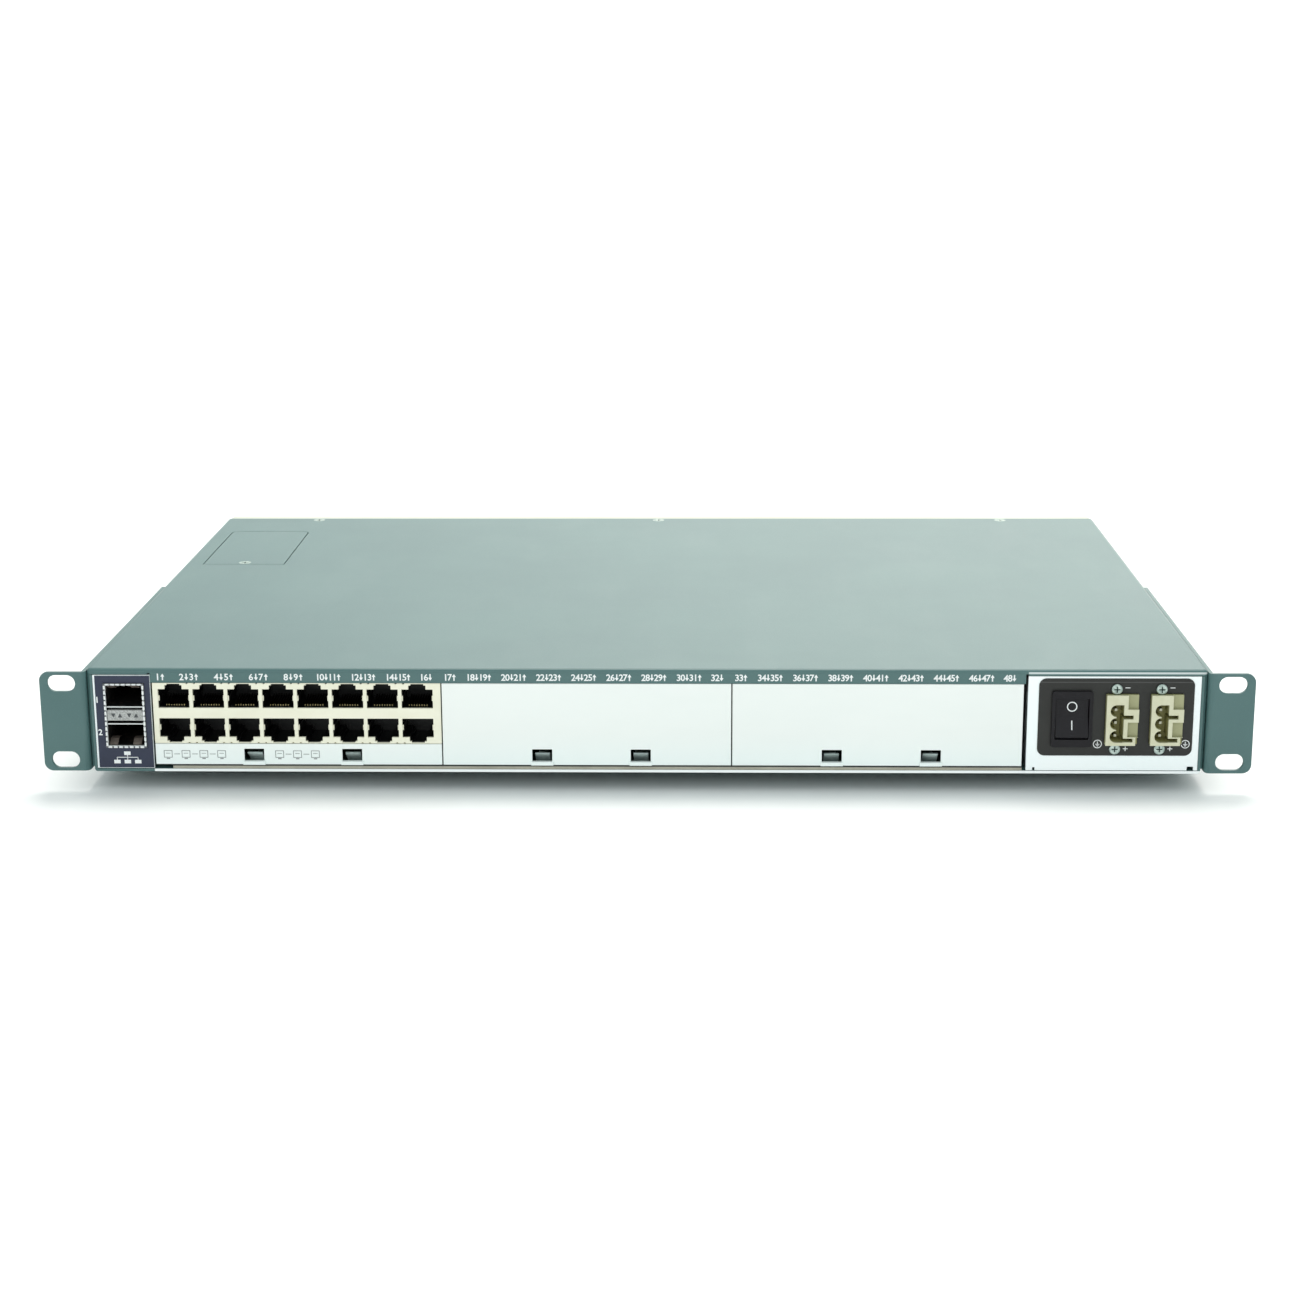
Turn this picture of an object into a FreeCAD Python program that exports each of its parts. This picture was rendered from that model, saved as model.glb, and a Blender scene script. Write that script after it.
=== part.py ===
import FreeCAD
import Part
import math
import os

from FreeCAD import Vector

# A one-unit rack chassis with three card bays, a network bay and a power bay, in millimetres.
# +X runs to the right along the port face, +Y from the port face to the far face, +Z up.
# The origin is on the underside, at the middle of the whole outline.

# ---------------------------------------------------------------- driving sizes
# Sheet metal and gaps
sheet = 1.1           # tray and cover
panel_t = 1.2         # face panels
label_t = 0.25        # printed plastic overlays
seam = 0.15           # between pieces that lie side by side
fit = 0.25            # beside anything that slides in
hole_fit = 0.1        # what a screw's hole has over the screw, in radius
run_fit = 0.05        # a shaft's running clearance, in radius
bend = 1.6            # outside radius of a folded edge

# Body
body_d = 299.0
header_h = 5.8        # numbered strip over the bays
header_lip_h = 2.4    # short lip over the network and power bays
relief_w = 1.1        # cut between the header and its lips
bezel_d = 7.0
bezel_wall = 2.0
bezel_corner = 3.0
side_gap = 0.5
psu_gap = 1.5
panel_gap = 0.15
cover_lift = 0.9      # cover's side flanges above the floor of the tray
flange_d = 9.0        # tray's top flange at the far wall

# Stacked jacks: two rows of eight in one moulding
port_columns = 8
port_pitch = 13.95
port_w = 12.5
port_h = 7.8
latch_w = 6.9         # the step that a plug's latch runs in
latch_h = 1.65
latch_tip_w = 5.2
latch_tip_h = 0.6
jack_skin = 0.3       # wall over the latch step
jack_bar = 4.3        # wall between the two rows
jack_end = 1.9        # extra wall at each end of the moulding
jack_shift = -0.5     # the columns' middle, from the moulding's
jack_depth = 25.0
port_depth = 18.0
rib_proud = 0.45      # ribs at mid-height on each side of a port
rib_h = 2.2
relief_r = 0.45       # half-round reliefs along the moulding's edges
relief_x = 1.5        # from the middle of the wall between two jacks
wire = 0.36           # contact wire
wire_pitch = 1.02
wires = 8
wire_start = 3.2      # first bend of a contact behind the face
wire_end = 12.5
wire_rise = 2.2

# Card bays
bays = 3
strip_h = 8.6         # plain strip under the jacks
gasket_h = 1.75
gasket_d = 3.0
gasket_start = 6.9    # from the first bay's left side
card_depth = 112.0
card_board_t = 1.6
card_slot = 2.0       # depth of a guide's groove
guide_half = 3.0
guide_h = 14.5
guide_start = 27.0    # behind the face
window_w = 8.0
window_h = 5.0
window_lift = 1.5     # window's sill above the strip's lower edge
window_span = 39.5    # between the two windows' middles
window_shift = 1.8    # their midpoint, right of the card's middle
lip_proud = 0.9       # finger lip under a window
lip_extra = 0.5       # lip's overhang at each end
tab_w = 10.0
tab_d = 9.0
tab_inset = 13.0
blank_flange = 9.0
plug_w = 50.0         # connector at the back of a card
plug_h = 9.0
plug_d = 10.0
tongue_h = 3.0
tongue_d = 6.0
backplane_gap = 6.0   # behind the cards

# Spring clips behind the windows
clip_w = 6.0
clip_t = 0.4
clip_reach = 24.0
clip_rise = 6.4

# Network bay
sfp_w = 23.0
cage_w = 15.6
cage_d = 48.0
cage_wall = 0.45
cage_port_h = 8.8
cage_left = 4.5       # from the panel's left edge
cage_lift = 9.05      # from the panel's lower edge
light_band = 6.6      # room between the two ports
light_gap = 1.15      # above and below the light guide
finger_t = 0.35
finger_w = 1.5
finger_gap = 0.7
finger_proud = 0.9
network_label_left = 0.8
network_label_edge = 0.3

# Power bay
psu_w = 68.2
power_label_left = 4.2
power_label_right = 2.6
power_label_foot = 6.2
power_label_head = 0.75
power_label_corner = 3.0
switch_w = 16.2
switch_h = 23.0
switch_x = 17.5       # switch's middle from the panel's left edge
switch_z = 21.55      # and from its lower edge
switch_proud = 1.5
switch_wall = 1.0
switch_d = 20.0
rocker_w = 13.0
rocker_h = 17.4
rocker_tilt = 8.0     # degrees each side of level
rocker_pivot = 4.6    # pivot's depth behind the rocker's middle
rocker_pin_r = 1.2
inlet_w = 12.8
inlet_h = 20.6
inlet_d = 14.0        # behind the panel's face
inlet_proud = 3.0
inlet_x = (37.2, 54.9)
inlet_z = 11.1        # inlet's foot from the panel's lower edge
inlet_pitch = 5.3
inlet_pin = 1.0       # square pin
inlet_pin_x = 4.0
inlet_pin_z = 3.7
inlet_well_r = 2.45
inlet_cavity_d = 9.0
inlet_flange_t = 3.0
inlet_corner_w = 1.0    # key step at the lower right corner
inlet_corner_h = 3.4
inlet_screw_x = -2.3  # from the inlet's middle
inlet_screw_span = 24.6

# Rack ears. With the body's width these give the 482.6 mm of a 19-inch panel.
ear_t = 1.6
ear_reach = 18.35
ear_h = 41.0
ear_flange = 162.0
ear_corner = 3.6
ear_forward = 2.4     # ear's face in front of the panels
ear_lead = 12.0       # slope at the flange's far end
slot_inset = 8.75     # slot's middle from the ear's outer edge
slot_rise = 31.75     # hole spacing within one rack unit
slot_w = 6.8
slot_len = 11.2
ear_screw_y = (30.0, 90.0, 145.0)

# Access door in the cover
door_w = 38.0
door_l = 75.6
door_left = 9.0       # from the body's left side
door_rear = 32.4      # from the cover's rear edge
door_gap = 0.45
door_corner = 4.0
door_screw_y = 3.6    # from the door's front edge
door_screw_free = 0.35
tongue_w = 11.4       # the door's tongue under the cover
tongue_reach = 6.0
tongue_root = 7.0
tongue_t = 0.9
keeper_w = 18.0       # bracket that takes the door's screw
keeper_d = 14.0
keeper_t = 1.5

# Cooling
fans = 3
fan_size = 38.0
fan_d = 20.0
fan_pitch = 46.0
fan_right = 34.0      # last fan's middle from the power bay's left edge
fan_wall = 0.9        # least wall round a fan's bore
fan_corner = 2.5
fan_hole_inset = 3.0
blades = 7
blade_t = 1.0
blade_gap = 0.6       # tips to bore
hub_r = 9.5
shaft_r = 1.0
mount_t = 2.2         # motor mount at the fan's far side
spoke_w = 2.2
spokes = 4
vent_slot_w = 2.2
vent_slot_pitch = 4.2
vent_slot_h = 29.0
vent_slots = 8

# Boards
board_t = 1.6
board_edge = 1.2
board_rear_gap = 8.0  # in front of the fans
backplane_lift = 2.0
power_board_lift = 6.0
power_board_start = 46.0
power_board_end = 236.0
post_r = 2.6
post_inset = 4.5
shield_end = 262.0

# Status lights in the far bezel
light_r = 1.5
lights = 3
light_pitch = 8.0
light_left = 22.0
light_z = 31.0

# Screws: head radius, head height, shank radius
cover_screw = (2.9, 1.0, 1.45)
ear_screw = (3.4, 1.4, 1.95)
small_screw = (2.25, 0.9, 1.2)
cover_screw_x = (-175.0, 0.0, 175.0)
cover_screw_inset = 3.7

# ---------------------------------------------------------------- worked-out sizes
cage_h = 2 * (cage_port_h + 2 * cage_wall) + light_band
block_w = port_columns * port_pitch + 2 * jack_end
block_h = 2 * (jack_skin + latch_tip_h + latch_h + port_h) + jack_bar
bay_w = block_w + 2 * fit
body_w = (sfp_w + side_gap + bays * bay_w + psu_gap + psu_w
          + 2 * (panel_gap + 2 * sheet + seam))

half_w = body_w / 2
tray_half = half_w - sheet - seam
inner_half = tray_half - sheet

bay_z0 = sheet + gasket_h + seam
strip_z1 = bay_z0 + strip_h
block_z0 = strip_z1 + fit
block_z1 = block_z0 + block_h
bay_z1 = block_z1 + seam
body_h = bay_z1 + header_h
under_cover = body_h - sheet
tray_top = under_cover - seam

total_d = inlet_proud + body_d + bezel_d
front = inlet_proud - total_d / 2
rear = front + body_d
rear_wall_y = rear - sheet

sfp_x0 = panel_gap - inner_half
sfp_x1 = sfp_x0 + sfp_w
bays_x0 = sfp_x1 + side_gap
bays_x1 = bays_x0 + bays * bay_w
psu_x0 = bays_x1 + psu_gap
psu_x1 = psu_x0 + psu_w
panel_z0 = sheet + fit
panel_z1 = body_h - header_lip_h - fit

cage_x0 = sfp_x0 + cage_left
cage_x1 = cage_x0 + cage_w
cage_z0 = panel_z0 + cage_lift
cage_z1 = cage_z0 + cage_h

card_board_z0 = block_z0 - card_board_t
backplane_y = front + card_depth + backplane_gap
board_z1 = cage_z0
board_z0 = board_z1 - board_t
power_board_z0 = sheet + power_board_lift
power_board_z1 = power_board_z0 + board_t
power_board_x0 = psu_x0 + 3 * sheet
power_board_x1 = inner_half - 2 * sheet

ear_x1 = half_w + ear_reach
ear_z0 = (body_h - ear_h) / 2
ear_y = front - ear_forward
slot_x = ear_x1 - slot_inset
mid_z = body_h / 2

door_x0 = door_left - half_w
door_x1 = door_x0 + door_w
door_mid = (door_x0 + door_x1) / 2
door_y1 = rear - door_rear
door_y0 = door_y1 - door_l

fan_x = [psu_x0 - fan_right - fan_pitch * n for n in reversed(range(fans))]
fan_z = sheet + seam + fan_size / 2
fan_y1 = rear_wall_y - seam
fan_y0 = fan_y1 - fan_d
fan_bore = fan_size / 2 - fan_wall
fan_hole_span = fan_size - 2 * fan_hole_inset
board_y0 = backplane_y + board_t + 2 * sheet
board_y1 = fan_y0 - board_rear_gap
board_x0 = board_edge - inner_half
board_x1 = psu_x0 - board_edge
column_x1 = bays_x0 - guide_half - fit


# ---------------------------------------------------------------- helpers
def box(x0, x1, y0, y1, z0, z1):
    """A block between two corners."""
    return Part.makeBox(x1 - x0, y1 - y0, z1 - z0, Vector(x0, y0, z0))


def rod(x, y, z, axis, radius, length):
    """A cylinder that starts at a point and runs along an axis."""
    return Part.makeCylinder(radius, length, Vector(x, y, z), Vector(*axis))


def fuse(first, *others):
    """One solid from several that touch or overlap."""
    return first.multiFuse(list(others)).removeSplitter() if others else first


def cut(shape, tools):
    """The shape without a list of tools."""
    tools = list(tools)
    return shape.cut(Part.makeCompound(tools)) if tools else shape


def prism(points, along):
    """A polygon pushed along a vector."""
    ends = [Vector(*p) for p in points]
    face = Part.Face(Part.makePolygon(ends + ends[:1]))
    return face.extrude(Vector(*along))


def moved(shape, x=0, y=0, z=0):
    """A shifted copy."""
    copy = shape.copy()
    copy.translate(Vector(x, y, z))
    return copy


def turned(shape, centre, axis, degrees):
    """A rotated copy."""
    copy = shape.copy()
    copy.rotate(Vector(*centre), Vector(*axis), degrees)
    return copy


def mirrored(shape):
    """The same thing on the other side of the chassis."""
    return shape.mirror(Vector(0, 0, 0), Vector(1, 0, 0))


def edges_along(shape, axis, keep=lambda p: True):
    """The straight edges that run along an axis and whose middle passes a test."""
    want = Vector(*axis)
    found = []
    for edge in shape.Edges:
        ends = [v.Point for v in edge.Vertexes]
        if len(ends) == 2 and edge.Curve.TypeId == "Part::GeomLine":
            run = (ends[1] - ends[0]).normalize()
            if abs(abs(run.dot(want)) - 1) < 1e-6 and keep((ends[0] + ends[1]) * 0.5):
                found.append(edge)
    return found


def rounded(shape, radius, axis, keep=lambda p: True):
    """The shape with its edges along an axis rounded."""
    return shape.makeFillet(radius, edges_along(shape, axis, keep))


def slab(x0, x1, z0, z1, y0, thick, corner):
    """An upright slab that faces -Y, with rounded corners."""
    return rounded(box(x0, x1, y0, y0 + thick, z0, z1), corner, (0, 1, 0))


def long_slot(x, z, width, length, y0, depth, upright):
    """A slot with round ends, cut along Y."""
    half = (length - width) / 2
    dx, dz = (0, half) if upright else (half, 0)
    wx, wz = (width / 2, half) if upright else (half, width / 2)
    body = box(x - wx, x + wx, y0, y0 + depth, z - wz, z + wz)
    ends = [rod(x + s * dx, y0, z + s * dz, (0, 1, 0), width / 2, depth) for s in (-1, 1)]
    return fuse(body, *ends)


def cross_recess(head_r, top, deep):
    """The tool that cuts a driver's cross into a head."""
    arm = head_r * 0.55
    width = head_r * 0.11
    return fuse(box(-arm, arm, -width, width, top - deep, top + deep),
                box(-width, width, -arm, arm, top - deep, top + deep))


def pan_screw(size, length):
    """A pan-head screw: its head's seat at the origin and its shank along -Z."""
    head_r, head_h, shank_r = size
    head = Part.makeCylinder(head_r, head_h)
    rim = [e for e in head.Edges if e.CenterOfMass.z > head_h / 2 and e.Length > head_r]
    head = head.makeFillet(head_h * 0.55, rim).cut(cross_recess(head_r, head_h, head_h * 0.6))
    return fuse(head, Part.makeCylinder(shank_r, length, Vector(0, 0, -length)))


def flat_screw(size, length, spare=0.0):
    """A countersunk screw from its flush top at the origin along -Z, or with spare its hole."""
    head_r, head_h, shank_r = size
    cone = Part.makeCone(shank_r + spare, head_r + spare, head_h, Vector(0, 0, -head_h))
    shank = Part.makeCylinder(shank_r + spare, length, Vector(0, 0, -length))
    whole = fuse(cone, shank)
    return whole if spare else whole.cut(cross_recess(head_r, 0, head_h * 0.5))


def facing_front(shape):
    """A thing drawn along +Z, turned to point along -Y."""
    return turned(shape, (0, 0, 0), (1, 0, 0), 90)


def facing_right(shape):
    """A thing drawn along +Z, turned to point along +X."""
    return turned(shape, (0, 0, 0), (0, 1, 0), 90)


def lead(points, radius, bend_r):
    """A round wire along straight runs with an arc at each turn."""
    points = [Vector(*p) for p in points]
    edges = []
    start = points[0]
    for before, corner, after in zip(points, points[1:], points[2:]):
        one = (before - corner).normalize()
        two = (after - corner).normalize()
        half_turn = one.getAngle(two) / 2
        reach = bend_r / math.tan(half_turn)
        centre = corner + (one + two).normalize() * (bend_r / math.sin(half_turn))
        first, last = corner + one * reach, corner + two * reach
        middle = centre + (corner - centre).normalize() * bend_r
        edges.append(Part.LineSegment(start, first).toShape())
        edges.append(Part.Arc(first, middle, last).toShape())
        start = last
    edges.append(Part.LineSegment(start, points[-1]).toShape())
    path = Part.Wire(edges)
    ring = Part.Wire(Part.makeCircle(radius, points[0], points[1] - points[0]))
    return path.makePipeShell([ring], True, False)


nodes = {}


def keep(name, *solids):
    """Files one or more solids under a node's name."""
    nodes.setdefault(name, []).extend(solids)


# ---------------------------------------------------------------- places shared by several pieces
def bay_left(n):
    """Left side of a bay, counted from 0."""
    return bays_x0 + n * bay_w


def window_places(n):
    """Middles of the two windows of a bay."""
    middle = bay_left(n) + bay_w / 2 + window_shift
    return [middle - window_span / 2, middle + window_span / 2]


def port_places():
    """Each jack's middle, its lower side and whether its latch is on top."""
    first = bay_left(0) + fit + jack_end + jack_shift + port_pitch / 2
    latch = jack_skin + latch_tip_h + latch_h
    low = block_z0 + latch
    high = block_z1 - latch - port_h
    columns = [first + n * port_pitch for n in range(port_columns)]
    return [(x, high, True) for x in columns] + [(x, low, False) for x in columns]


def ear_screw_places():
    """Depth and height of each screw in an ear's flange."""
    return [(ear_y + y, mid_z) for y in ear_screw_y]


def fan_hole_places(x):
    """The four fixing holes of a fan."""
    half = fan_hole_span / 2
    return [(x + sx * half, fan_z + sz * half) for sx in (-1, 1) for sz in (-1, 1)]


def light_places():
    """Middles of the status lights."""
    return [light_left + n * light_pitch - half_w for n in range(lights)]


def inlet_left(n):
    """Left side of a power inlet."""
    return psu_x0 + inlet_x[n] - inlet_w / 2


inlet_z0 = panel_z0 + inlet_z
inlet_mid_z = inlet_z0 + inlet_h / 2
switch_mid_x = psu_x0 + switch_x
switch_mid_z = panel_z0 + switch_z
pivot_y = front - switch_proud + rocker_pivot + sheet


def inlet_screw_places():
    """The two screws of each power inlet."""
    return [(psu_x0 + x + inlet_screw_x, inlet_mid_z + s * inlet_screw_span / 2)
            for x in inlet_x for s in (-1, 1)]


def board_post_places():
    """The main board's posts: along its rear part and in the network column."""
    xs = [board_x0 + post_inset, -70.0, 50.0, board_x1 - post_inset]
    ys = [board_y0 + post_inset, board_y1 - post_inset]
    return [(x, y) for x in xs for y in ys] + [(board_x0 + post_inset, front + cage_d + 20)]


def power_post_places():
    """The power board's four posts."""
    return [(x, y) for x in (power_board_x0 + post_inset, power_board_x1 - post_inset)
            for y in (front + power_board_start + post_inset, front + power_board_end - post_inset)]


# ---------------------------------------------------------------- chassis
def base_tray():
    """Floor, two sides and the far wall, folded from one sheet, with a flange for the cover."""
    w, i = tray_half, inner_half
    solid = fuse(box(-w, w, front, rear, 0, sheet),
                 box(-w, -i, front, rear, 0, tray_top),
                 box(i, w, front, rear, 0, tray_top),
                 box(-w, w, rear_wall_y, rear, 0, tray_top),
                 box(-w, w, rear - flange_d, rear, tray_top - sheet, tray_top))
    solid = rounded(solid, bend * 0.7, (0, 1, 0), lambda p: p.z < 0.01 and abs(p.x) > w - 0.01)
    holes = [box(-w - 1, w + 1, front - 1, front + sheet + seam, body_h - header_lip_h - seam, body_h)]
    holes += [rod(x, rear_wall_y - 1, fan_z, (0, 1, 0), fan_bore, sheet + 2) for x in fan_x]
    for x in fan_x:
        holes += [rod(hx, rear_wall_y - 1, hz, (0, 1, 0), small_screw[2] + hole_fit, sheet + 2)
                  for hx, hz in fan_hole_places(x)]
    holes += [rod(x, rear_wall_y - 1, light_z, (0, 1, 0), light_r + hole_fit, sheet + 2)
              for x in light_places()]
    holes += [rod(x, rear - cover_screw_inset, tray_top - 2, (0, 0, 1), cover_screw[2] + hole_fit, 4)
              for x in cover_screw_x]
    for y, z in ear_screw_places():
        holes += [rod(s * (i - 1), y, z, (s, 0, 0), ear_screw[2] + hole_fit, sheet + 2) for s in (-1, 1)]
    keep("base_tray", cut(solid, holes))


def door_hole():
    """The opening that the access door fills, with a clearance all round."""
    hole = box(door_x0 - door_gap, door_x1 + door_gap, door_y0 - door_gap, door_y1 + door_gap,
               under_cover - 1, body_h + 1)
    return rounded(hole, door_corner + door_gap, (0, 0, 1), lambda p: p.y > door_y0 + door_l / 2)


def top_cover():
    """Top, side flanges and the folded header over the port face."""
    lip_z0 = body_h - header_lip_h
    solid = fuse(box(-half_w, half_w, front, rear, under_cover, body_h),
                 box(-half_w, sheet - half_w, front, rear, sheet + cover_lift, body_h),
                 box(half_w - sheet, half_w, front, rear, sheet + cover_lift, body_h),
                 box(-half_w, half_w, front, front + sheet, lip_z0, body_h),
                 box(sfp_x1, bays_x1 + side_gap, front, front + sheet, bay_z1, body_h))
    solid = rounded(solid, bend, (0, 1, 0), lambda p: p.z > body_h - 0.01)
    solid = rounded(solid, bend, (1, 0, 0), lambda p: p.z > body_h - 0.01 and p.y < front + 0.01)
    reliefs = [box(x, x + relief_w, front - 1, front + sheet, bay_z1 - 1, lip_z0 + relief_w / 2)
               for x in (sfp_x1 - relief_w, bays_x1 + side_gap)]
    sides = [moved(facing_right(flat_screw(ear_screw, 8, hole_fit)), half_w + ear_t, y, z)
             for y, z in ear_screw_places()]
    screws = [moved(flat_screw(cover_screw, 6, hole_fit), x, rear - cover_screw_inset, body_h)
              for x in cover_screw_x]
    keep("top_cover", cut(solid, reliefs + [door_hole()] + sides + [mirrored(s) for s in sides] + screws))


def cover_screws():
    """Three flush screws along the cover's far edge."""
    one = flat_screw(cover_screw, 2 * sheet + seam + 1.2)
    keep("cover_screws", *[moved(one, x, rear - cover_screw_inset, body_h) for x in cover_screw_x])


def rack_ears():
    """A folded bracket each side, with two slots on the rack's hole spacing."""
    face = box(half_w, ear_x1, ear_y, ear_y + ear_t, ear_z0, ear_z0 + ear_h)
    face = rounded(face, ear_corner, (0, 1, 0), lambda p: p.x > ear_x1 - 0.01)
    end = ear_y + ear_flange
    flange = prism([(half_w, ear_y, ear_z0), (half_w, end, ear_z0),
                    (half_w, end, ear_z0 + ear_h - ear_lead), (half_w, end - ear_lead, ear_z0 + ear_h),
                    (half_w, ear_y, ear_z0 + ear_h)], (ear_t, 0, 0))
    solid = fuse(face, flange)
    solid = rounded(solid, ear_t + 0.6, (0, 0, 1), lambda p: p.x < half_w + 0.01 and p.y < ear_y + 0.01)
    slots = [long_slot(slot_x, mid_z + s * slot_rise / 2, slot_w, slot_len, ear_y - 1, ear_t + 2, False)
             for s in (-1, 1)]
    screws = [moved(facing_right(flat_screw(ear_screw, 8, hole_fit)), half_w + ear_t, y, z)
              for y, z in ear_screw_places()]
    ear = cut(solid, slots + screws)
    keep("right_rack_ear", ear)
    keep("left_rack_ear", mirrored(ear))
    length = ear_t + 2 * sheet + seam + 1.2
    one = facing_right(flat_screw(ear_screw, length))
    right = [moved(one, half_w + ear_t, y, z) for y, z in ear_screw_places()]
    keep("ear_screws", *right, *[mirrored(s) for s in right])


def rear_bezel():
    """A pale moulding over the far wall: a shallow shell with slots for the fans' air."""
    z0, z1 = sheet, body_h - seam
    outer = slab(-half_w, half_w, z0, z1, rear, bezel_d, bezel_corner)
    inner = slab(bezel_wall - half_w, half_w - bezel_wall, z0 + bezel_wall, z1 - bezel_wall,
                 rear - 1, bezel_d - bezel_wall + 1, bezel_corner - bezel_wall / 2)
    rim = edges_along(outer, (1, 0, 0), lambda p: p.y > rear + bezel_d - 0.01)
    outer = outer.makeFillet(bezel_wall * 0.5, rim)
    slots = [long_slot(x + (n - (vent_slots - 1) / 2) * vent_slot_pitch, fan_z, vent_slot_w, vent_slot_h,
                       rear, bezel_d + 1, True)
             for x in fan_x for n in range(vent_slots)]
    slots += [rod(x, rear, light_z, (0, 1, 0), light_r + hole_fit, bezel_d + 1) for x in light_places()]
    pockets = [rod(hx, rear, hz, (0, 1, 0), small_screw[0] + fit, small_screw[1] + fit)
               for x in fan_x for hx, hz in fan_hole_places(x)]
    keep("rear_bezel", cut(outer.cut(inner), slots + pockets))


def status_lights():
    """Clear rods that carry the board's lights to the far face."""
    start = rear_wall_y - 5
    for x in light_places():
        pipe = rod(x, start, light_z, (0, 1, 0), light_r, rear + bezel_d - seam - start)
        collar = rod(x, start, light_z, (0, 1, 0), light_r + 1, rear_wall_y - seam - start)
        keep("status_lights", fuse(pipe, collar))


# ---------------------------------------------------------------- card bays
def card_guides():
    """Grooved rails on the floor, one at each end of the bays and one between each pair."""
    y0, y1 = front + guide_start, backplane_y - 2 * sheet
    for n in range(bays + 1):
        x = bay_left(n)
        left = guide_half if n > 0 else 0
        right = guide_half if n < bays else 0
        rail = box(x - left, x + right, y0, y1, sheet, guide_h)
        grooves = [box(x + s * guide_half - card_slot, x + s * guide_half + card_slot, y0 - 1, y1 + 1,
                       card_board_z0 - seam, block_z0 + seam)
                   for s in (-1, 1) if (left if s < 0 else right)]
        keep("card_guides", cut(rail, grooves))


def emi_gasket():
    """A strip of conductive fabric over foam, along the floor's front edge under the cards."""
    strip = box(bays_x0 + gasket_start, bays_x1, front + seam, front + gasket_d, sheet, sheet + gasket_h)
    keep("emi_gasket", rounded(strip, gasket_h * 0.35, (1, 0, 0), lambda p: p.z > sheet + 1))


def bay_spring_clips():
    """A leaf behind each window, which rises from the floor to meet the card's strip."""
    heel = front + panel_t + clip_reach
    knee = front + panel_t + 0.35 * clip_reach
    tip = front + panel_t + 2 * fit
    top = sheet + clip_rise
    section = [(heel, sheet), (heel, sheet + clip_t), (knee + clip_t, sheet + clip_t),
               (tip + clip_t + 0.3, top - clip_t), (tip + 4 * clip_t, top - clip_t),
               (tip + 4 * clip_t, top), (tip, top), (knee, sheet)]
    for n in range(bays):
        for x in window_places(n):
            keep("bay_spring_clips", prism([(x - clip_w / 2, y, z) for y, z in section], (clip_w, 0, 0)))


def face_strip(n, top):
    """A card's plain face with its two windows and finger lips."""
    x0 = bay_left(n) + fit
    solid = box(x0, x0 + block_w, front, front + panel_t, bay_z0, top)
    sill = bay_z0 + window_lift
    lip_half = window_w / 2 + lip_extra
    lips = [box(x - lip_half, x + lip_half, front - lip_proud, front, bay_z0, sill)
            for x in window_places(n)]
    windows = [box(x - window_w / 2, x + window_w / 2, front - 1, front + panel_t + 1, sill, sill + window_h)
               for x in window_places(n)]
    return cut(fuse(solid, *lips), windows)


def card_bracket():
    """The first card's metal strip, with two tabs that hold the board from below."""
    x0 = bay_left(0) + fit
    tabs = [box(x - tab_w / 2, x + tab_w / 2, front, front + panel_t + tab_d,
                card_board_z0 - panel_t, card_board_z0)
            for x in (x0 + tab_inset, x0 + block_w - tab_inset)]
    keep("card_bracket", fuse(face_strip(0, strip_z1), *tabs))


def port_hole(x, z, latch_up):
    """One jack's cavity with the two steps for a plug's latch."""
    s = 1 if latch_up else -1
    root = z + port_h if latch_up else z

    def step(width, low, high):
        ends = sorted((root + s * low, root + s * high))
        return box(x - width / 2, x + width / 2, front - 1, front + port_depth, *ends)

    hole = fuse(box(x - port_w / 2, x + port_w / 2, front - 1, front + port_depth, z, z + port_h),
                step(latch_w, -1, latch_h), step(latch_tip_w, -1, latch_h + latch_tip_h))
    rib_z = z + (port_h - rib_h) / 2
    edge = port_w / 2 - rib_proud
    ribs = [box(x + a, x + b, front + 0.8, front + port_depth + 1, rib_z, rib_z + rib_h)
            for a, b in ((-port_w, -edge), (edge, port_w))]
    return cut(hole, ribs)


def jack_block():
    """The moulding with two rows of eight jacks."""
    x0 = bay_left(0) + fit
    block = box(x0, x0 + block_w, front, front + jack_depth, block_z0, block_z1)
    walls = [x0 + jack_end + jack_shift + n * port_pitch for n in range(1, port_columns)]
    reliefs = [rod(x + s * relief_x, front - 1, z, (0, 1, 0), relief_r, 3)
               for x in walls for s in (-1, 1) for z in (block_z0, block_z1)]
    keep("jack_block", cut(block, [port_hole(*place) for place in port_places()] + reliefs))


def jack_contacts():
    """Eight sprung wires in each jack, on the side away from the latch."""
    y0, y1, back = front + wire_start, front + wire_end, front + port_depth
    for x, z, latch_up in port_places():
        floor = z if latch_up else z + port_h
        s = 1 if latch_up else -1
        section = [(back, 0), (y0, 0), (y0 - wire, wire), (y0, 2 * wire), (y1, wire_rise + wire),
                   (y1, wire_rise), (y0 + 2 * wire, wire), (back, wire)]
        for n in range(wires):
            left = x + (n - (wires - 1) / 2) * wire_pitch - wire / 2
            keep("jack_contacts", prism([(left, y, floor + s * h) for y, h in section], (wire, 0, 0)))


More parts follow.
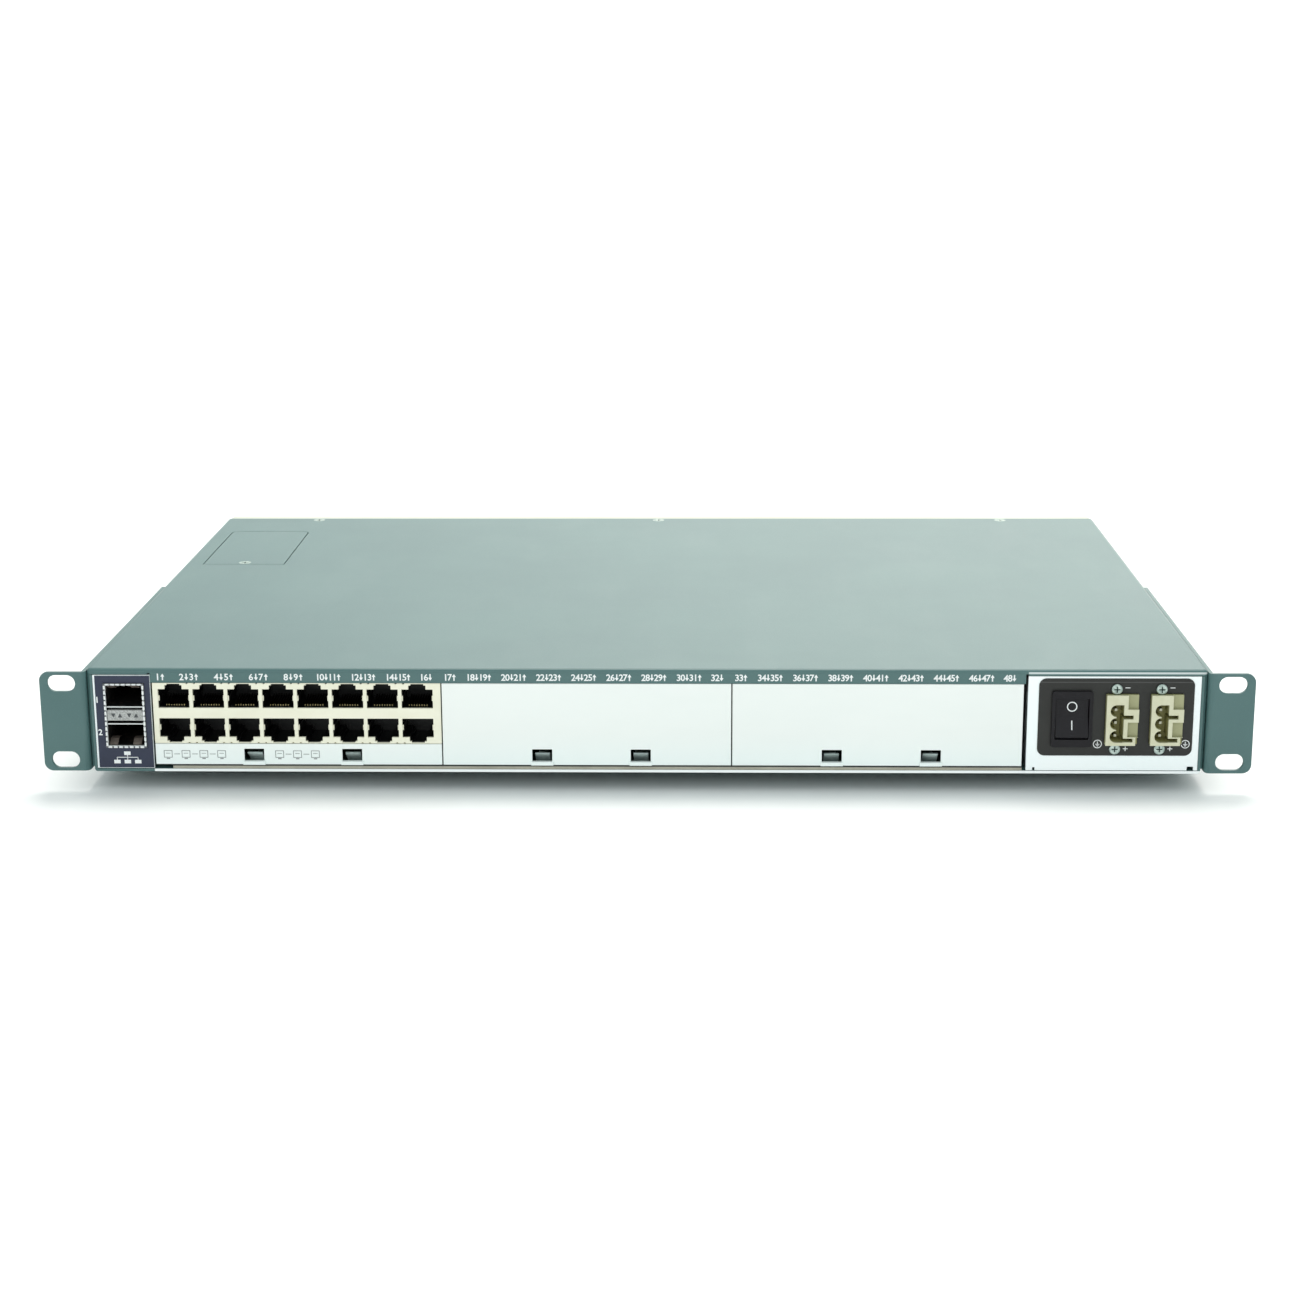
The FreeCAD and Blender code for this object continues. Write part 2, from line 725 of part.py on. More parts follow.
def card_board():
    """The first card's board, its chips and the plug at its far end."""
    x0, x1 = bay_left(0) + guide_half - card_slot + fit, bay_left(1) - guide_half + card_slot - fit
    y0, y1 = front + panel_t + fit, front + card_depth
    keep("card_board", box(x0, x1, y0, y1, card_board_z0, block_z0))
    middle = (x0 + x1) / 2
    chips = [(-34, 46, 14, 2.2), (-8, 46, 14, 2.2), (18, 46, 14, 2.2), (0, 74, 20, 1.6), (36, 74, 10, 1.2)]
    for dx, dy, size, high in chips:
        keep("card_chips", box(middle + dx - size / 2, middle + dx + size / 2, front + dy - size / 2,
                               front + dy + size / 2, block_z0, block_z0 + high))
    x0 = middle - plug_w / 2
    mouth = backplane_y - plug_d
    tongue_z = block_z0 + seam + (plug_h - tongue_h) / 2
    body = box(x0, x0 + plug_w, mouth - plug_d, mouth - fit, block_z0, block_z0 + plug_h)
    tongue = box(x0 + 2, x0 + plug_w - 2, mouth - 1, mouth + tongue_d, tongue_z, tongue_z + tongue_h)
    keep("card_plug", fuse(body, tongue))


def blank_panels():
    """Two plain covers for the empty bays, folded back at their sides."""
    for n, name in ((1, "blank_panel_a"), (2, "blank_panel_b")):
        x0 = bay_left(n) + fit
        sides = [box(x, x + panel_t, front, front + blank_flange, bay_z0, block_z1)
                 for x in (x0, x0 + block_w - panel_t)]
        keep(name, fuse(face_strip(n, block_z1), *sides))


def backplane():
    """An upright board behind the cards with a socket for each."""
    lift = sheet + backplane_lift
    keep("backplane_board", box(bays_x0, bays_x1, backplane_y, backplane_y + board_t,
                                lift, tray_top - backplane_lift))
    mouth = backplane_y - plug_d
    z0 = block_z0 + 2 * seam
    tongue_z = block_z0 + seam + (plug_h - tongue_h) / 2
    for n in range(bays):
        x = bay_left(n) + bay_w / 2
        body = box(x - plug_w / 2, x + plug_w / 2, mouth, backplane_y, z0, z0 + plug_h)
        hole = box(x - plug_w / 2 + 2 - fit, x + plug_w / 2 - 2 + fit, mouth - 1, mouth + tongue_d + 1,
                   tongue_z - fit, tongue_z + tongue_h + fit)
        keep("backplane_sockets", body.cut(hole))


# ---------------------------------------------------------------- network bay
def network_panel():
    """The bright panel at the left end, and the dark overlay on its face."""
    grow = finger_t + seam
    hole = box(cage_x0 - grow, cage_x1 + grow, front - 1, front + panel_t + 1, cage_z0 - grow, cage_z1 + grow)
    panel = box(sfp_x0, sfp_x1, front, front + panel_t, panel_z0, panel_z1)
    keep("network_panel", panel.cut(hole))
    label = box(sfp_x0 + network_label_left, sfp_x1 - seam, front - label_t, front,
                panel_z0 + network_label_edge, panel_z1 - network_label_edge)
    keep("network_label", label.cut(hole))


def network_cage():
    """The double cage for plug-in transceivers, its spring rim, light guide and sockets."""
    y0, y1 = front - label_t, front + cage_d
    w = cage_wall
    outer = box(cage_x0, cage_x1, y0, y1, cage_z0, cage_z1)
    low = cage_z0 + w
    high = cage_z1 - w - cage_port_h
    rooms = [box(cage_x0 + w, cage_x1 - w, y0 - 1, y1 - w, z, z + cage_port_h) for z in (low, high)]
    gap_z0, gap_z1 = low + cage_port_h + w, high - w
    rooms.append(box(cage_x0 + w, cage_x1 - w, y0 - 1, y1 - w, gap_z0, gap_z1))
    keep("sfp_cage", cut(outer, rooms))

    keep("sfp_light_guide", box(cage_x0 + w + seam, cage_x1 - w - seam, y0, front + cage_d * 0.7,
                                gap_z0 + light_gap, gap_z1 - light_gap))
    for z in (low, high):
        keep("sfp_sockets", box(cage_x0 + 2, cage_x1 - 2, y1 - w - 9, y1 - w, z, z + 5.2))

    t = finger_t
    ring = box(cage_x0 - t, cage_x1 + t, front - finger_proud, front + panel_t, cage_z0 - t, cage_z1 + t)
    ring = ring.cut(box(cage_x0, cage_x1, front - 2, front + 2, cage_z0, cage_z1))
    step = finger_w + finger_gap
    gaps = []
    for low_end, high_end, upright in ((cage_x0, cage_x1, False), (cage_z0, cage_z1, True)):
        count = int((high_end - low_end) / step)
        first = (low_end + high_end - (count - 1) * step) / 2 - finger_gap / 2
        for n in range(count):
            a, b = first + n * step, first + n * step + finger_gap
            span = (cage_x0 - 1, cage_x1 + 1, a, b) if upright else (a, b, cage_z0 - 1, cage_z1 + 1)
            gaps.append(box(span[0], span[1], front - 2, front - label_t - seam, span[2], span[3]))
    keep("sfp_spring_rim", cut(ring, gaps))


# ---------------------------------------------------------------- boards
def main_board():
    """The main board: a wide rear part and a narrow arm under the network cage."""
    arm = box(board_x0, column_x1, front + 2 * panel_t, board_y0 + 1, board_z0, board_z1)
    wide = box(board_x0, board_x1, board_y0, board_y1, board_z0, board_z1)
    posts = board_post_places()
    holes = [rod(x, y, board_z0 - 1, (0, 0, 1), small_screw[2] + hole_fit, board_t + 2) for x, y in posts]
    keep("main_board", cut(fuse(wide, arm), holes))

    power = box(power_board_x0, power_board_x1, front + power_board_start, front + power_board_end,
                power_board_z0, power_board_z1)
    holes = [rod(x, y, power_board_z0 - 1, (0, 0, 1), small_screw[2] + hole_fit, board_t + 2)
             for x, y in power_post_places()]
    keep("power_board", cut(power, holes))

    for places, under, over in ((posts, board_z0, board_z1),
                                (power_post_places(), power_board_z0, power_board_z1)):
        for x, y in places:
            post = rod(x, y, sheet, (0, 0, 1), post_r, under - sheet)
            bore = rod(x, y, under - 3.5, (0, 0, 1), small_screw[2] + hole_fit, 4)
            keep("board_posts", post.cut(bore))
            keep("board_screws", moved(pan_screw(small_screw, board_t + 3), x, y, over))


def board_parts():
    """What stands on the main board: processor, chips, heat sink, memory and cell."""
    cpu_x, cpu_y, cpu, cpu_h = -96.0, board_y0 + 62.0, 32.0, 2.4
    chips = [(cpu_x, cpu_y, cpu, cpu_h), (-28, board_y0 + 40, 22, 1.8), (-28, board_y0 + 88, 18, 1.8),
             (32, board_y0 + 40, 26, 2.0), (92, board_y0 + 50, 16, 1.6), (-150, board_y0 + 24, 14, 1.4)]
    for x, y, size, high in chips:
        keep("logic_chips", box(x - size / 2, x + size / 2, y - size / 2, y + size / 2, board_z1, board_z1 + high))
    foot, plate_h, fin_h, fin_t, fin_count = 46.0, 3.0, 16.0, 1.4, 10
    z = board_z1 + cpu_h
    x0, y0 = cpu_x - foot / 2, cpu_y - foot / 2
    pitch = (foot - fin_t) / (fin_count - 1)
    fins = [box(x0 + n * pitch, x0 + n * pitch + fin_t, y0, y0 + foot, z + plate_h, z + plate_h + fin_h)
            for n in range(fin_count)]
    keep("heat_sink", fuse(box(x0, x0 + foot, y0, y0 + foot, z, z + plate_h), *fins))

    card_l, card_w, card_t, stand = 67.6, 30.0, 1.0, 3.2
    y0 = door_y0 + (door_l - card_l) / 2
    x0 = door_x0 + 2
    keep("board_connectors", box(x0, x0 + 6, y0 - 2, y0 + card_l + 2, board_z1, board_z1 + stand),
         box(x0 + 2 + card_w, x0 + 4 + card_w, y0 + 24, y0 + 44, board_z1, board_z1 + stand))
    keep("memory_card", box(x0 + 3, x0 + 3 + card_w, y0, y0 + card_l, board_z1 + stand,
                            board_z1 + stand + card_t))

    cell_r, cell_h, cell_x, cell_y = 10.0, 3.2, -150.0, board_y0 + 96.0
    ring = rod(cell_x, cell_y, board_z1, (0, 0, 1), cell_r + 1.6, cell_h + 0.8)
    well = rod(cell_x, cell_y, board_z1 + 0.8, (0, 0, 1), cell_r + fit, cell_h + 1)
    keep("board_connectors", ring.cut(well))
    keep("coin_cell", rod(cell_x, cell_y, board_z1 + 0.8, (0, 0, 1), cell_r, cell_h))


# ---------------------------------------------------------------- power bay
def power_panel():
    """The bright panel at the right end and the dark overlay round its switch and inlets."""
    panel = box(psu_x0, psu_x1, front, front + panel_t, panel_z0, panel_z1)
    label = slab(psu_x0 + power_label_left, psu_x1 - power_label_right, panel_z0 + power_label_foot,
                 panel_z1 - power_label_head, front - label_t, label_t, power_label_corner)
    through = [box(switch_mid_x - switch_w / 2 + switch_wall - seam, switch_mid_x + switch_w / 2 - switch_wall
                   + seam, front - 1, front + 3, switch_mid_z - switch_h / 2 + switch_wall - seam,
                   switch_mid_z + switch_h / 2 - switch_wall + seam)]
    through += [box(inlet_left(n) - seam, inlet_left(n) + inlet_w + seam, front - 1, front + 3,
                    inlet_z0 - seam, inlet_z0 + inlet_h + seam) for n in range(len(inlet_x))]
    through += [rod(x, front - 1, z, (0, 1, 0), small_screw[2] + hole_fit, 4) for x, z in inlet_screw_places()]
    notches = [box(psu_x0 + 2.6, psu_x0 + 3.6, front - 1, front + 3, panel_z0 - 1, panel_z0 + 1.2),
               box(psu_x1 - 4.2, psu_x1 - 1.6, front - 1, front + 3, panel_z0 - 1, panel_z0 + 1.6)]
    keep("power_panel", cut(panel, through + notches))
    keep("power_label", cut(label, through))


def power_shield():
    """A folded wall between the cards and the power parts, with a hole for the leads."""
    x = psu_x0 + seam
    wall = box(x, x + sheet, front + panel_t, front + shield_end, sheet, tray_top - seam)
    foot = box(x, x + 9, front + power_board_end + 4, front + shield_end, sheet, 2 * sheet)
    hole = rod(x - 1, front + power_board_end - 24, 30, (1, 0, 0), 4.0, 4)
    keep("power_shield", fuse(wall, foot).cut(hole))


def power_switch():
    """The rocker switch: housing with a proud frame, rocker on two stub pins, and its tabs."""
    x, z = switch_mid_x, switch_mid_z
    face = front - label_t - switch_proud
    frame = slab(x - switch_w / 2, x + switch_w / 2, z - switch_h / 2, z + switch_h / 2,
                 face, switch_proud, 1.0)
    body_x, body_z = switch_w / 2 - switch_wall, switch_h / 2 - switch_wall
    body = box(x - body_x, x + body_x, front - label_t, front + switch_d, z - body_z, z + body_z)
    crown = 1.0
    half = rocker_h / 2
    rise = half * math.tan(math.radians(rocker_tilt))
    nose = face - crown
    corner_r = math.hypot(pivot_y - nose - rise, half - 0.6)
    room_x = rocker_w / 2 + 3 * run_fit
    room = rod(x - room_x, pivot_y, z, (1, 0, 0), corner_r + fit, 2 * room_x)
    pins = rod(x - body_x + 0.1, pivot_y, z, (1, 0, 0), rocker_pin_r + run_fit, 2 * body_x - 0.2)
    keep("switch_housing", cut(fuse(frame, body), [room, pins]))

    section = [(nose + rise, half - 0.6), (nose + rise + 1.2, half), (pivot_y + 0.5, half - 1.6),
               (pivot_y + 2.6, 2.4), (pivot_y + 2.6, -2.4), (pivot_y + 0.5, 1.6 - half),
               (nose + rise + 1.2, -half), (nose + rise, 0.6 - half), (nose + 2 * rise, 0)]
    rocker = prism([(x - rocker_w / 2, y, z + h) for y, h in section], (rocker_w, 0, 0))
    stubs = rod(x - body_x + 0.2, pivot_y, z, (1, 0, 0), rocker_pin_r, 2 * body_x - 0.4)
    keep("switch_rocker", turned(fuse(rocker, stubs), (x, pivot_y, z), (1, 0, 0), -rocker_tilt))

    for dx in (-3.5, 3.5):
        for dz in (-6.0, 0.0):
            keep("switch_tabs", box(x + dx - 2.4, x + dx + 2.4, front + switch_d, front + switch_d + 8,
                                    z + dz - 0.4, z + dz + 0.4))


def power_inlet(n):
    """One three-way plug-in power header with its keyed face, pins and flange."""
    x0, z0 = inlet_left(n), inlet_z0
    face, top = front - inlet_proud, inlet_z0 + inlet_h
    body = box(x0, x0 + inlet_w, face, front + inlet_d, z0, top)
    flange_x = x0 + inlet_w / 2 + inlet_screw_x
    reach = inlet_screw_span / 2 + 3.6
    flange = box(flange_x - 4, flange_x + 4, front + panel_t, front + panel_t + inlet_flange_t,
                 inlet_mid_z - reach, inlet_mid_z + reach)
    pin_x = x0 + inlet_pin_x
    pins_z = [z0 + inlet_pin_z + k * inlet_pitch for k in range(3)]
    deep = inlet_cavity_d
    wells = [rod(pin_x, face - 1, z, (0, 1, 0), inlet_well_r, deep + 1) for z in pins_z]
    wells.append(box(pin_x, x0 + 6.9, face - 1, face + deep, pins_z[0] - inlet_well_r, pins_z[2] + inlet_well_r))
    slots = [box(x0 + 6.8, x0 + 10.7, face - 1, face + deep, top - b, top - a)
             for a, b in ((8.1, 9.7), (17.6, 19.2))]
    steps = [box(x0 + 8.5, x0 + inlet_w + 1, face - 1, face + 1.6, top - b, top - a)
             for a, b in ((-1, 5.7), (11.0, 17.1))]
    corner = box(x0 + inlet_w - inlet_corner_w, x0 + inlet_w + 1, face - 1, front - label_t - seam,
                 z0 - 1, z0 + inlet_corner_h)
    head_r, head_h, shank_r = small_screw
    head_y = front - label_t - head_h - fit
    holes = [rod(flange_x, y, inlet_mid_z + s * inlet_screw_span / 2, (0, 1, 0), r, length)
             for s in (-1, 1) for y, r, length in ((front, shank_r + hole_fit, 8),
                                                   (head_y, head_r + fit, front - head_y))]
    bores = [box(pin_x - inlet_pin / 2, pin_x + inlet_pin / 2, face + deep - 1, front + inlet_d + 1,
                 z - inlet_pin / 2, z + inlet_pin / 2) for z in pins_z]
    keep("power_inlet_" + "ab"[n], cut(fuse(body, flange), wells + slots + steps + [corner] + holes + bores))
    for z in pins_z:
        keep("inlet_pins", box(pin_x - inlet_pin / 2, pin_x + inlet_pin / 2, face + 2.2, front + inlet_d + 5,
                               z - inlet_pin / 2, z + inlet_pin / 2))


def power_parts():
    """Inlet screws, and the transformer, coils, capacitors and heat sink on the power board."""
    one = facing_front(pan_screw(small_screw, label_t + panel_t + inlet_flange_t + 1))
    for x, z in inlet_screw_places():
        keep("inlet_screws", moved(one, x, front - label_t, z))

    z = power_board_z1
    x0, x1, y0 = power_board_x0, power_board_x1, front + power_board_start
    middle = (x0 + x1) / 2
    coil_x, coil_y = middle + 6, y0 + 96
    core = box(coil_x - 14, coil_x + 14, coil_y - 12, coil_y + 12, z, z + 22)
    winding = box(coil_x - 9, coil_x + 9, coil_y - 17, coil_y + 17, z + 3, z + 19)
    keep("power_coils", fuse(core, rounded(winding, 3, (0, 1, 0))))
    torus_y = y0 + 34
    ring = Part.makeCylinder(10, 9, Vector(middle + 12, torus_y, z))
    keep("power_coils", ring.cut(Part.makeCylinder(4.5, 11, Vector(middle + 12, torus_y, z - 1))))
    for x, y, r, h in ((x0 + 14, y0 + 32, 7, 26), (x0 + 14, y0 + 50, 7, 26),
                       (middle + 4, y0 + 140, 6, 22), (middle + 18, y0 + 140, 6, 22)):
        keep("power_capacitors", rod(x, y, z, (0, 0, 1), r, h))
    fins = [box(x0 + 8 + 4.2 * k, x0 + 9.4 + 4.2 * k, y0 + 72, y0 + 122, z + 3, z + 24) for k in range(4)]
    keep("power_heat_sink", fuse(box(x0 + 8, x0 + 22, y0 + 72, y0 + 122, z, z + 3), *fins))


def wiring():
    """Insulated leads: fans to the main board, switch to the power board, power to the main board."""
    for x in fan_x:
        plug_y = board_y1 - 6
        keep("board_connectors", box(x - 4, x + 4, plug_y - 3, plug_y + 3, board_z1, board_z1 + 6))
        keep("leads", lead([(x, fan_y0, fan_z + 10), (x, plug_y, fan_z + 10), (x, plug_y, board_z1 + 6)], 0.9, 4))
    y = front + power_board_end - 24
    xa, xb = psu_x0 + 14, psu_x0 - 14
    for low, x in ((power_board_z1, xa), (board_z1, xb)):
        keep("board_connectors", box(x - 3.5, x + 3.5, y - 4, y + 4, low, low + 6))
    for dy in (-1.6, 1.6):
        keep("leads", lead([(xa, y + dy, power_board_z1 + 6), (xa, y + dy, 30), (xb, y + dy, 30),
                            (xb, y + dy, board_z1 + 6)], 0.9, 5))


# ---------------------------------------------------------------- access door
def access_door():
    """A flush plate with a joggled tongue under the cover, and its captive screw."""
    plate = box(door_x0, door_x1, door_y0, door_y1, under_cover, body_h)
    plate = rounded(plate, door_corner, (0, 0, 1), lambda p: p.y > door_y1 - 0.01)
    low = under_cover - seam - tongue_t
    joggle = box(door_mid - tongue_w / 2, door_mid + tongue_w / 2, door_y1 - tongue_root, door_y1,
                 low, under_cover)
    tongue = box(door_mid - tongue_w / 2, door_mid + tongue_w / 2, door_y1 - tongue_root,
                 door_y1 + tongue_reach, low, low + tongue_t)
    screw_y = door_y0 + door_screw_y
    hole = moved(flat_screw(cover_screw, 6, hole_fit), door_mid, screw_y, body_h)
    keep("access_door", fuse(plate, joggle, tongue).cut(hole))
    keep("door_screw", moved(flat_screw(cover_screw, sheet + seam + keeper_t + 0.8), door_mid, screw_y, body_h))

    y0, y1 = screw_y - keeper_d, screw_y + keeper_d / 2
    top = under_cover - seam
    keeper = box(door_mid - keeper_w / 2, door_mid + keeper_w / 2, y0, y1, top - keeper_t, top)
    pad = box(door_mid - keeper_w / 2, door_mid + keeper_w / 2, y0, door_y0 - 2, top - keeper_t, under_cover)
    free = rod(door_mid, screw_y, top - 4, (0, 0, 1), cover_screw[2] + door_screw_free, 6)
    keep("door_keeper", fuse(keeper, pad).cut(free))


# ---------------------------------------------------------------- fans
def fan(n):
    """One fan: square frame with a motor mount on spokes, and a bladed rotor on a shaft."""
    x = fan_x[n]
    half = fan_size / 2
    frame = slab(x - half, x + half, fan_z - half, fan_z + half, fan_y0, fan_d, fan_corner)
    tools = [rod(x, fan_y0 - 1, fan_z, (0, 1, 0), fan_bore, fan_d + 2)]
    tools += [rod(hx, fan_y0 - 1, hz, (0, 1, 0), small_screw[2] + hole_fit, fan_d + 2)
              for hx, hz in fan_hole_places(x)]
    frame = cut(frame, tools)
    mount_y = fan_y1 - mount_t
    mount = rod(x, mount_y, fan_z, (0, 1, 0), hub_r, mount_t)
    collar = rod(x, mount_y - 6, fan_z, (0, 1, 0), shaft_r + 1.6, 6)
    arm = box(x - spoke_w / 2, x + spoke_w / 2, mount_y, fan_y1, fan_z, fan_z + fan_bore + 0.4)
    arms = [turned(arm, (x, 0, fan_z), (0, 1, 0), 45 + 360 / spokes * k) for k in range(spokes)]
    bore = rod(x, mount_y - 7, fan_z, (0, 1, 0), shaft_r + run_fit, 6 + mount_t)
    keep(f"fan_{n + 1}_frame", fuse(frame, mount, collar, *arms).cut(bore))

    hub_y0, hub_y1 = fan_y0 + 1.5, mount_y - 1.0
    hub = rod(x, hub_y0, fan_z, (0, 1, 0), hub_r, hub_y1 - hub_y0)
    hub = hub.cut(rod(x, hub_y0 + 2.5, fan_z, (0, 1, 0), hub_r - 1.4, hub_y1))
    shaft = rod(x, hub_y0 + 1, fan_z, (0, 1, 0), shaft_r, mount_y - hub_y0 - 1)
    length = fan_bore - blade_gap - hub_r + 0.6
    blade = box(x - blade_t / 2, x + blade_t / 2, hub_y0 + 0.5, hub_y1 - 1, fan_z + hub_r - 0.6,
                fan_z + hub_r - 0.6 + length)
    blade = turned(blade, (x, (hub_y0 + hub_y1) / 2, fan_z), (0, 0, 1), 38)
    trim = rod(x, hub_y0 + 0.2, fan_z, (0, 1, 0), fan_bore - blade_gap, hub_y1 - hub_y0 - 0.4)
    blade = blade.common(trim)
    row = [turned(blade, (x, 0, fan_z), (0, 1, 0), 360 / blades * k) for k in range(blades)]
    keep(f"fan_{n + 1}_rotor", fuse(hub, shaft, *row))

    one = turned(pan_screw(small_screw, sheet + seam + 6), (0, 0, 0), (1, 0, 0), -90)
    for hx, hz in fan_hole_places(x):
        keep("fan_screws", moved(one, hx, rear, hz))


base_tray()
top_cover()
cover_screws()
rack_ears()
rear_bezel()
status_lights()
card_guides()
emi_gasket()
bay_spring_clips()
card_bracket()
jack_block()
jack_contacts()
card_board()
blank_panels()
backplane()
network_panel()
network_cage()
main_board()
board_parts()
power_panel()
power_shield()
power_switch()
for inlet in range(len(inlet_x)):
    power_inlet(inlet)
power_parts()
wiring()
access_door()
for which in range(fans):
    fan(which)

os.makedirs("parts", exist_ok=True)
for name, solids in nodes.items():
    shape = solids[0] if len(solids) == 1 else Part.makeCompound(solids)
    shape.exportStep(f"parts/{name}.step")
    print(name, len(shape.Solids), shape.isValid(), round(shape.Volume / 1000, 2))

whole = Part.makeCompound([s for solids in nodes.values() for s in solids]).BoundBox
print(len(nodes), "nodes", [round(v, 3) for v in
      (whole.XMin, whole.XMax, whole.YMin, whole.YMax, whole.ZMin, whole.ZMax)])
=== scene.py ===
import math
import random

import bmesh
import bpy
from mathutils import Matrix, Vector


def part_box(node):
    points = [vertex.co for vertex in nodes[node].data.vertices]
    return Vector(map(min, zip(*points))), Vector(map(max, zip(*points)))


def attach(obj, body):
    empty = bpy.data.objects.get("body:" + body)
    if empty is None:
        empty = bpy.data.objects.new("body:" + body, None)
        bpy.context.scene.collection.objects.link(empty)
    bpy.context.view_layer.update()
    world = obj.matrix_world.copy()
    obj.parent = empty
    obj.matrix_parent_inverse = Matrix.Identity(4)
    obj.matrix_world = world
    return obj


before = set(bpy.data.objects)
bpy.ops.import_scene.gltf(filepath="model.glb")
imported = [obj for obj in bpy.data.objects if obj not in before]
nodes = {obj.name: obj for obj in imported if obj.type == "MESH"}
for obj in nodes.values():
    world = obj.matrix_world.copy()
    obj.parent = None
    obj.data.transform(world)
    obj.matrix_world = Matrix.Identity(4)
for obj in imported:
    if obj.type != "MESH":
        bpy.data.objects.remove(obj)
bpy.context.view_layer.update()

# ---- Table, light and camera
# A white table that runs on into a white wall, with the unit raised a little on two white strips.
# A broad soft light hangs over and behind it, a weak one stands in front, and a third one lights
# the wall. The camera looks at the port side from a little above.
mm = 0.001
face_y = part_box("network_panel")[0].y
base_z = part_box("base_tray")[0].z


class Value:
    """A shader socket. Operators on it add Math nodes, and make() adds any other node."""

    def __init__(self, tree, socket):
        self.tree, self.socket = tree, socket

    def make(self, kind, settings=(), inputs=(), out=0):
        """Adds a node, sets it up, then feeds its sockets with numbers, colours or links."""
        node = self.tree.nodes.new("ShaderNode" + kind)
        for name, value in dict(settings).items():
            setattr(node, name, value)
        for name, value in dict(inputs).items():
            if isinstance(value, Value):
                self.tree.links.new(value.socket, node.inputs[name])
            else:
                node.inputs[name].default_value = value
        return Value(self.tree, node.outputs[out])

    def math(self, operation, first, second):
        return self.make("Math", {"operation": operation}, {0: first, 1: second})

    def __add__(self, other):
        return self.math("ADD", self, other)

    def __sub__(self, other):
        return self.math("SUBTRACT", self, other)

    def __mul__(self, other):
        return self.math("MULTIPLY", self, other)

    def __rsub__(self, other):
        return self.math("SUBTRACT", other, self)

    __radd__, __rmul__ = __add__, __mul__

    def above(self, limit, soft):
        """0 below a limit and 1 above it, with a soft step."""
        return self.make("MapRange", {"interpolation_type": "SMOOTHSTEP"},
                         {0: self, 1: limit - soft, 2: limit + soft})

    def within(self, low, high, soft):
        """1 between two limits, with soft steps."""
        return self.above(low, soft) * (1 - self.above(high, soft))

    def blend(self, low, high):
        """Goes from one colour to another as this value goes from 0 to 1."""
        low, high = (c if isinstance(c, Value) else (*c, 1) for c in (low, high))
        return self.make("Mix", {"data_type": "RGBA"}, {0: self, 6: low, 7: high}, 2)

    def noise(self, size, detail=3.0, rough=0.55, stretch=(1, 1, 1)):
        """Cloudy noise with features of about this size in millimetres, on a place."""
        place = self.make("VectorMath", {"operation": "MULTIPLY"}, {0: self, 1: stretch})
        return place.make("TexNoise", {}, {
            "Vector": place, "Scale": 1 / (size * mm), "Detail": detail, "Roughness": rough})

    def bands(self, way, scale, bent=0.0):
        """Stripes across one axis of a place."""
        return self.make("TexWave", {"bands_direction": way},
                         {"Vector": self, "Scale": scale, "Distortion": bent})

    def axis(self, name):
        """One coordinate of a place."""
        return self.make("SeparateXYZ", {}, {0: self}, "XYZ".index(name))


def finish(name, colour, rough, metal=0.0, **more):
    """A new material: returns it, its shader and the piece's own coordinates."""
    material = bpy.data.materials.new(name)
    material.use_nodes = True
    tree = material.node_tree
    shader = tree.nodes["Principled BSDF"]
    shader.inputs["Base Color"].default_value = (*colour, 1)
    shader.inputs["Roughness"].default_value = rough
    shader.inputs["Metallic"].default_value = metal
    for socket, value in more.items():
        shader.inputs[socket.replace("_", " ")].default_value = value
    return material, shader, Value(tree, tree.nodes.new("ShaderNodeTexCoord").outputs["Object"])


def feed(shader, **links):
    """Links values to a shader's sockets."""
    for socket, value in links.items():
        value.tree.links.new(value.socket, shader.inputs[socket.replace("_", " ")])


def new_mesh(name, bm, material, body=None):
    """Turns a bmesh into a piece that rides on a body and has one material."""
    mesh = bpy.data.meshes.new(name)
    bm.to_mesh(mesh)
    bm.free()
    piece = bpy.data.objects.new(name, mesh)
    bpy.context.scene.collection.objects.link(piece)
    mesh.materials.append(material)
    if body:
        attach(piece, body)
    return piece


table_white, shader, place = finish("table_white", (0.93, 0.94, 0.94), 0.5)
feed(shader, Base_Color=place.noise(90, 2).blend((0.925, 0.94, 0.94), (0.94, 0.95, 0.95)))
bm = bmesh.new()
raised = 7.5 * mm
reach, rise, turn, half_width = 3.0, 2.4, 0.8, 4.0
profile = [(-reach, 0.0)] + [(reach - turn + turn * math.sin(a), turn - turn * math.cos(a))
                             for a in (math.radians(9 * k) for k in range(11))] + [(reach, rise)]
rows = [[bm.verts.new((x, y, base_z - raised + z)) for y, z in profile]
        for x in (-half_width, half_width)]
for k in range(len(profile) - 1):
    bm.faces.new((rows[0][k], rows[1][k], rows[1][k + 1], rows[0][k + 1]))
bmesh.ops.recalc_face_normals(bm, faces=bm.faces)
table = new_mesh("table_top", bm, table_white)
for polygon in table.data.polygons:
    polygon.use_smooth = True
bm = bmesh.new()
for x in (-0.14, 0.14):
    bmesh.ops.create_cube(bm, size=1.0, matrix=Matrix.LocRotScale(
        Vector((x, 0, base_z - raised / 2)), None, Vector((0.03, 0.16, raised - 0.1 * mm))))
strips = new_mesh("table_strips", bm, table_white)


def area_light(name, place, aim, size, power, colour):
    """A rectangular soft light that faces a point."""
    data = bpy.data.lights.new(name, "AREA")
    data.shape, data.size, data.size_y = "RECTANGLE", *size
    data.energy, data.color = power, colour
    light = bpy.data.objects.new(name, data)
    light.location = place
    light.rotation_euler = (Vector(aim) - Vector(place)).to_track_quat("-Z", "Y").to_euler()
    bpy.context.scene.collection.objects.link(light)


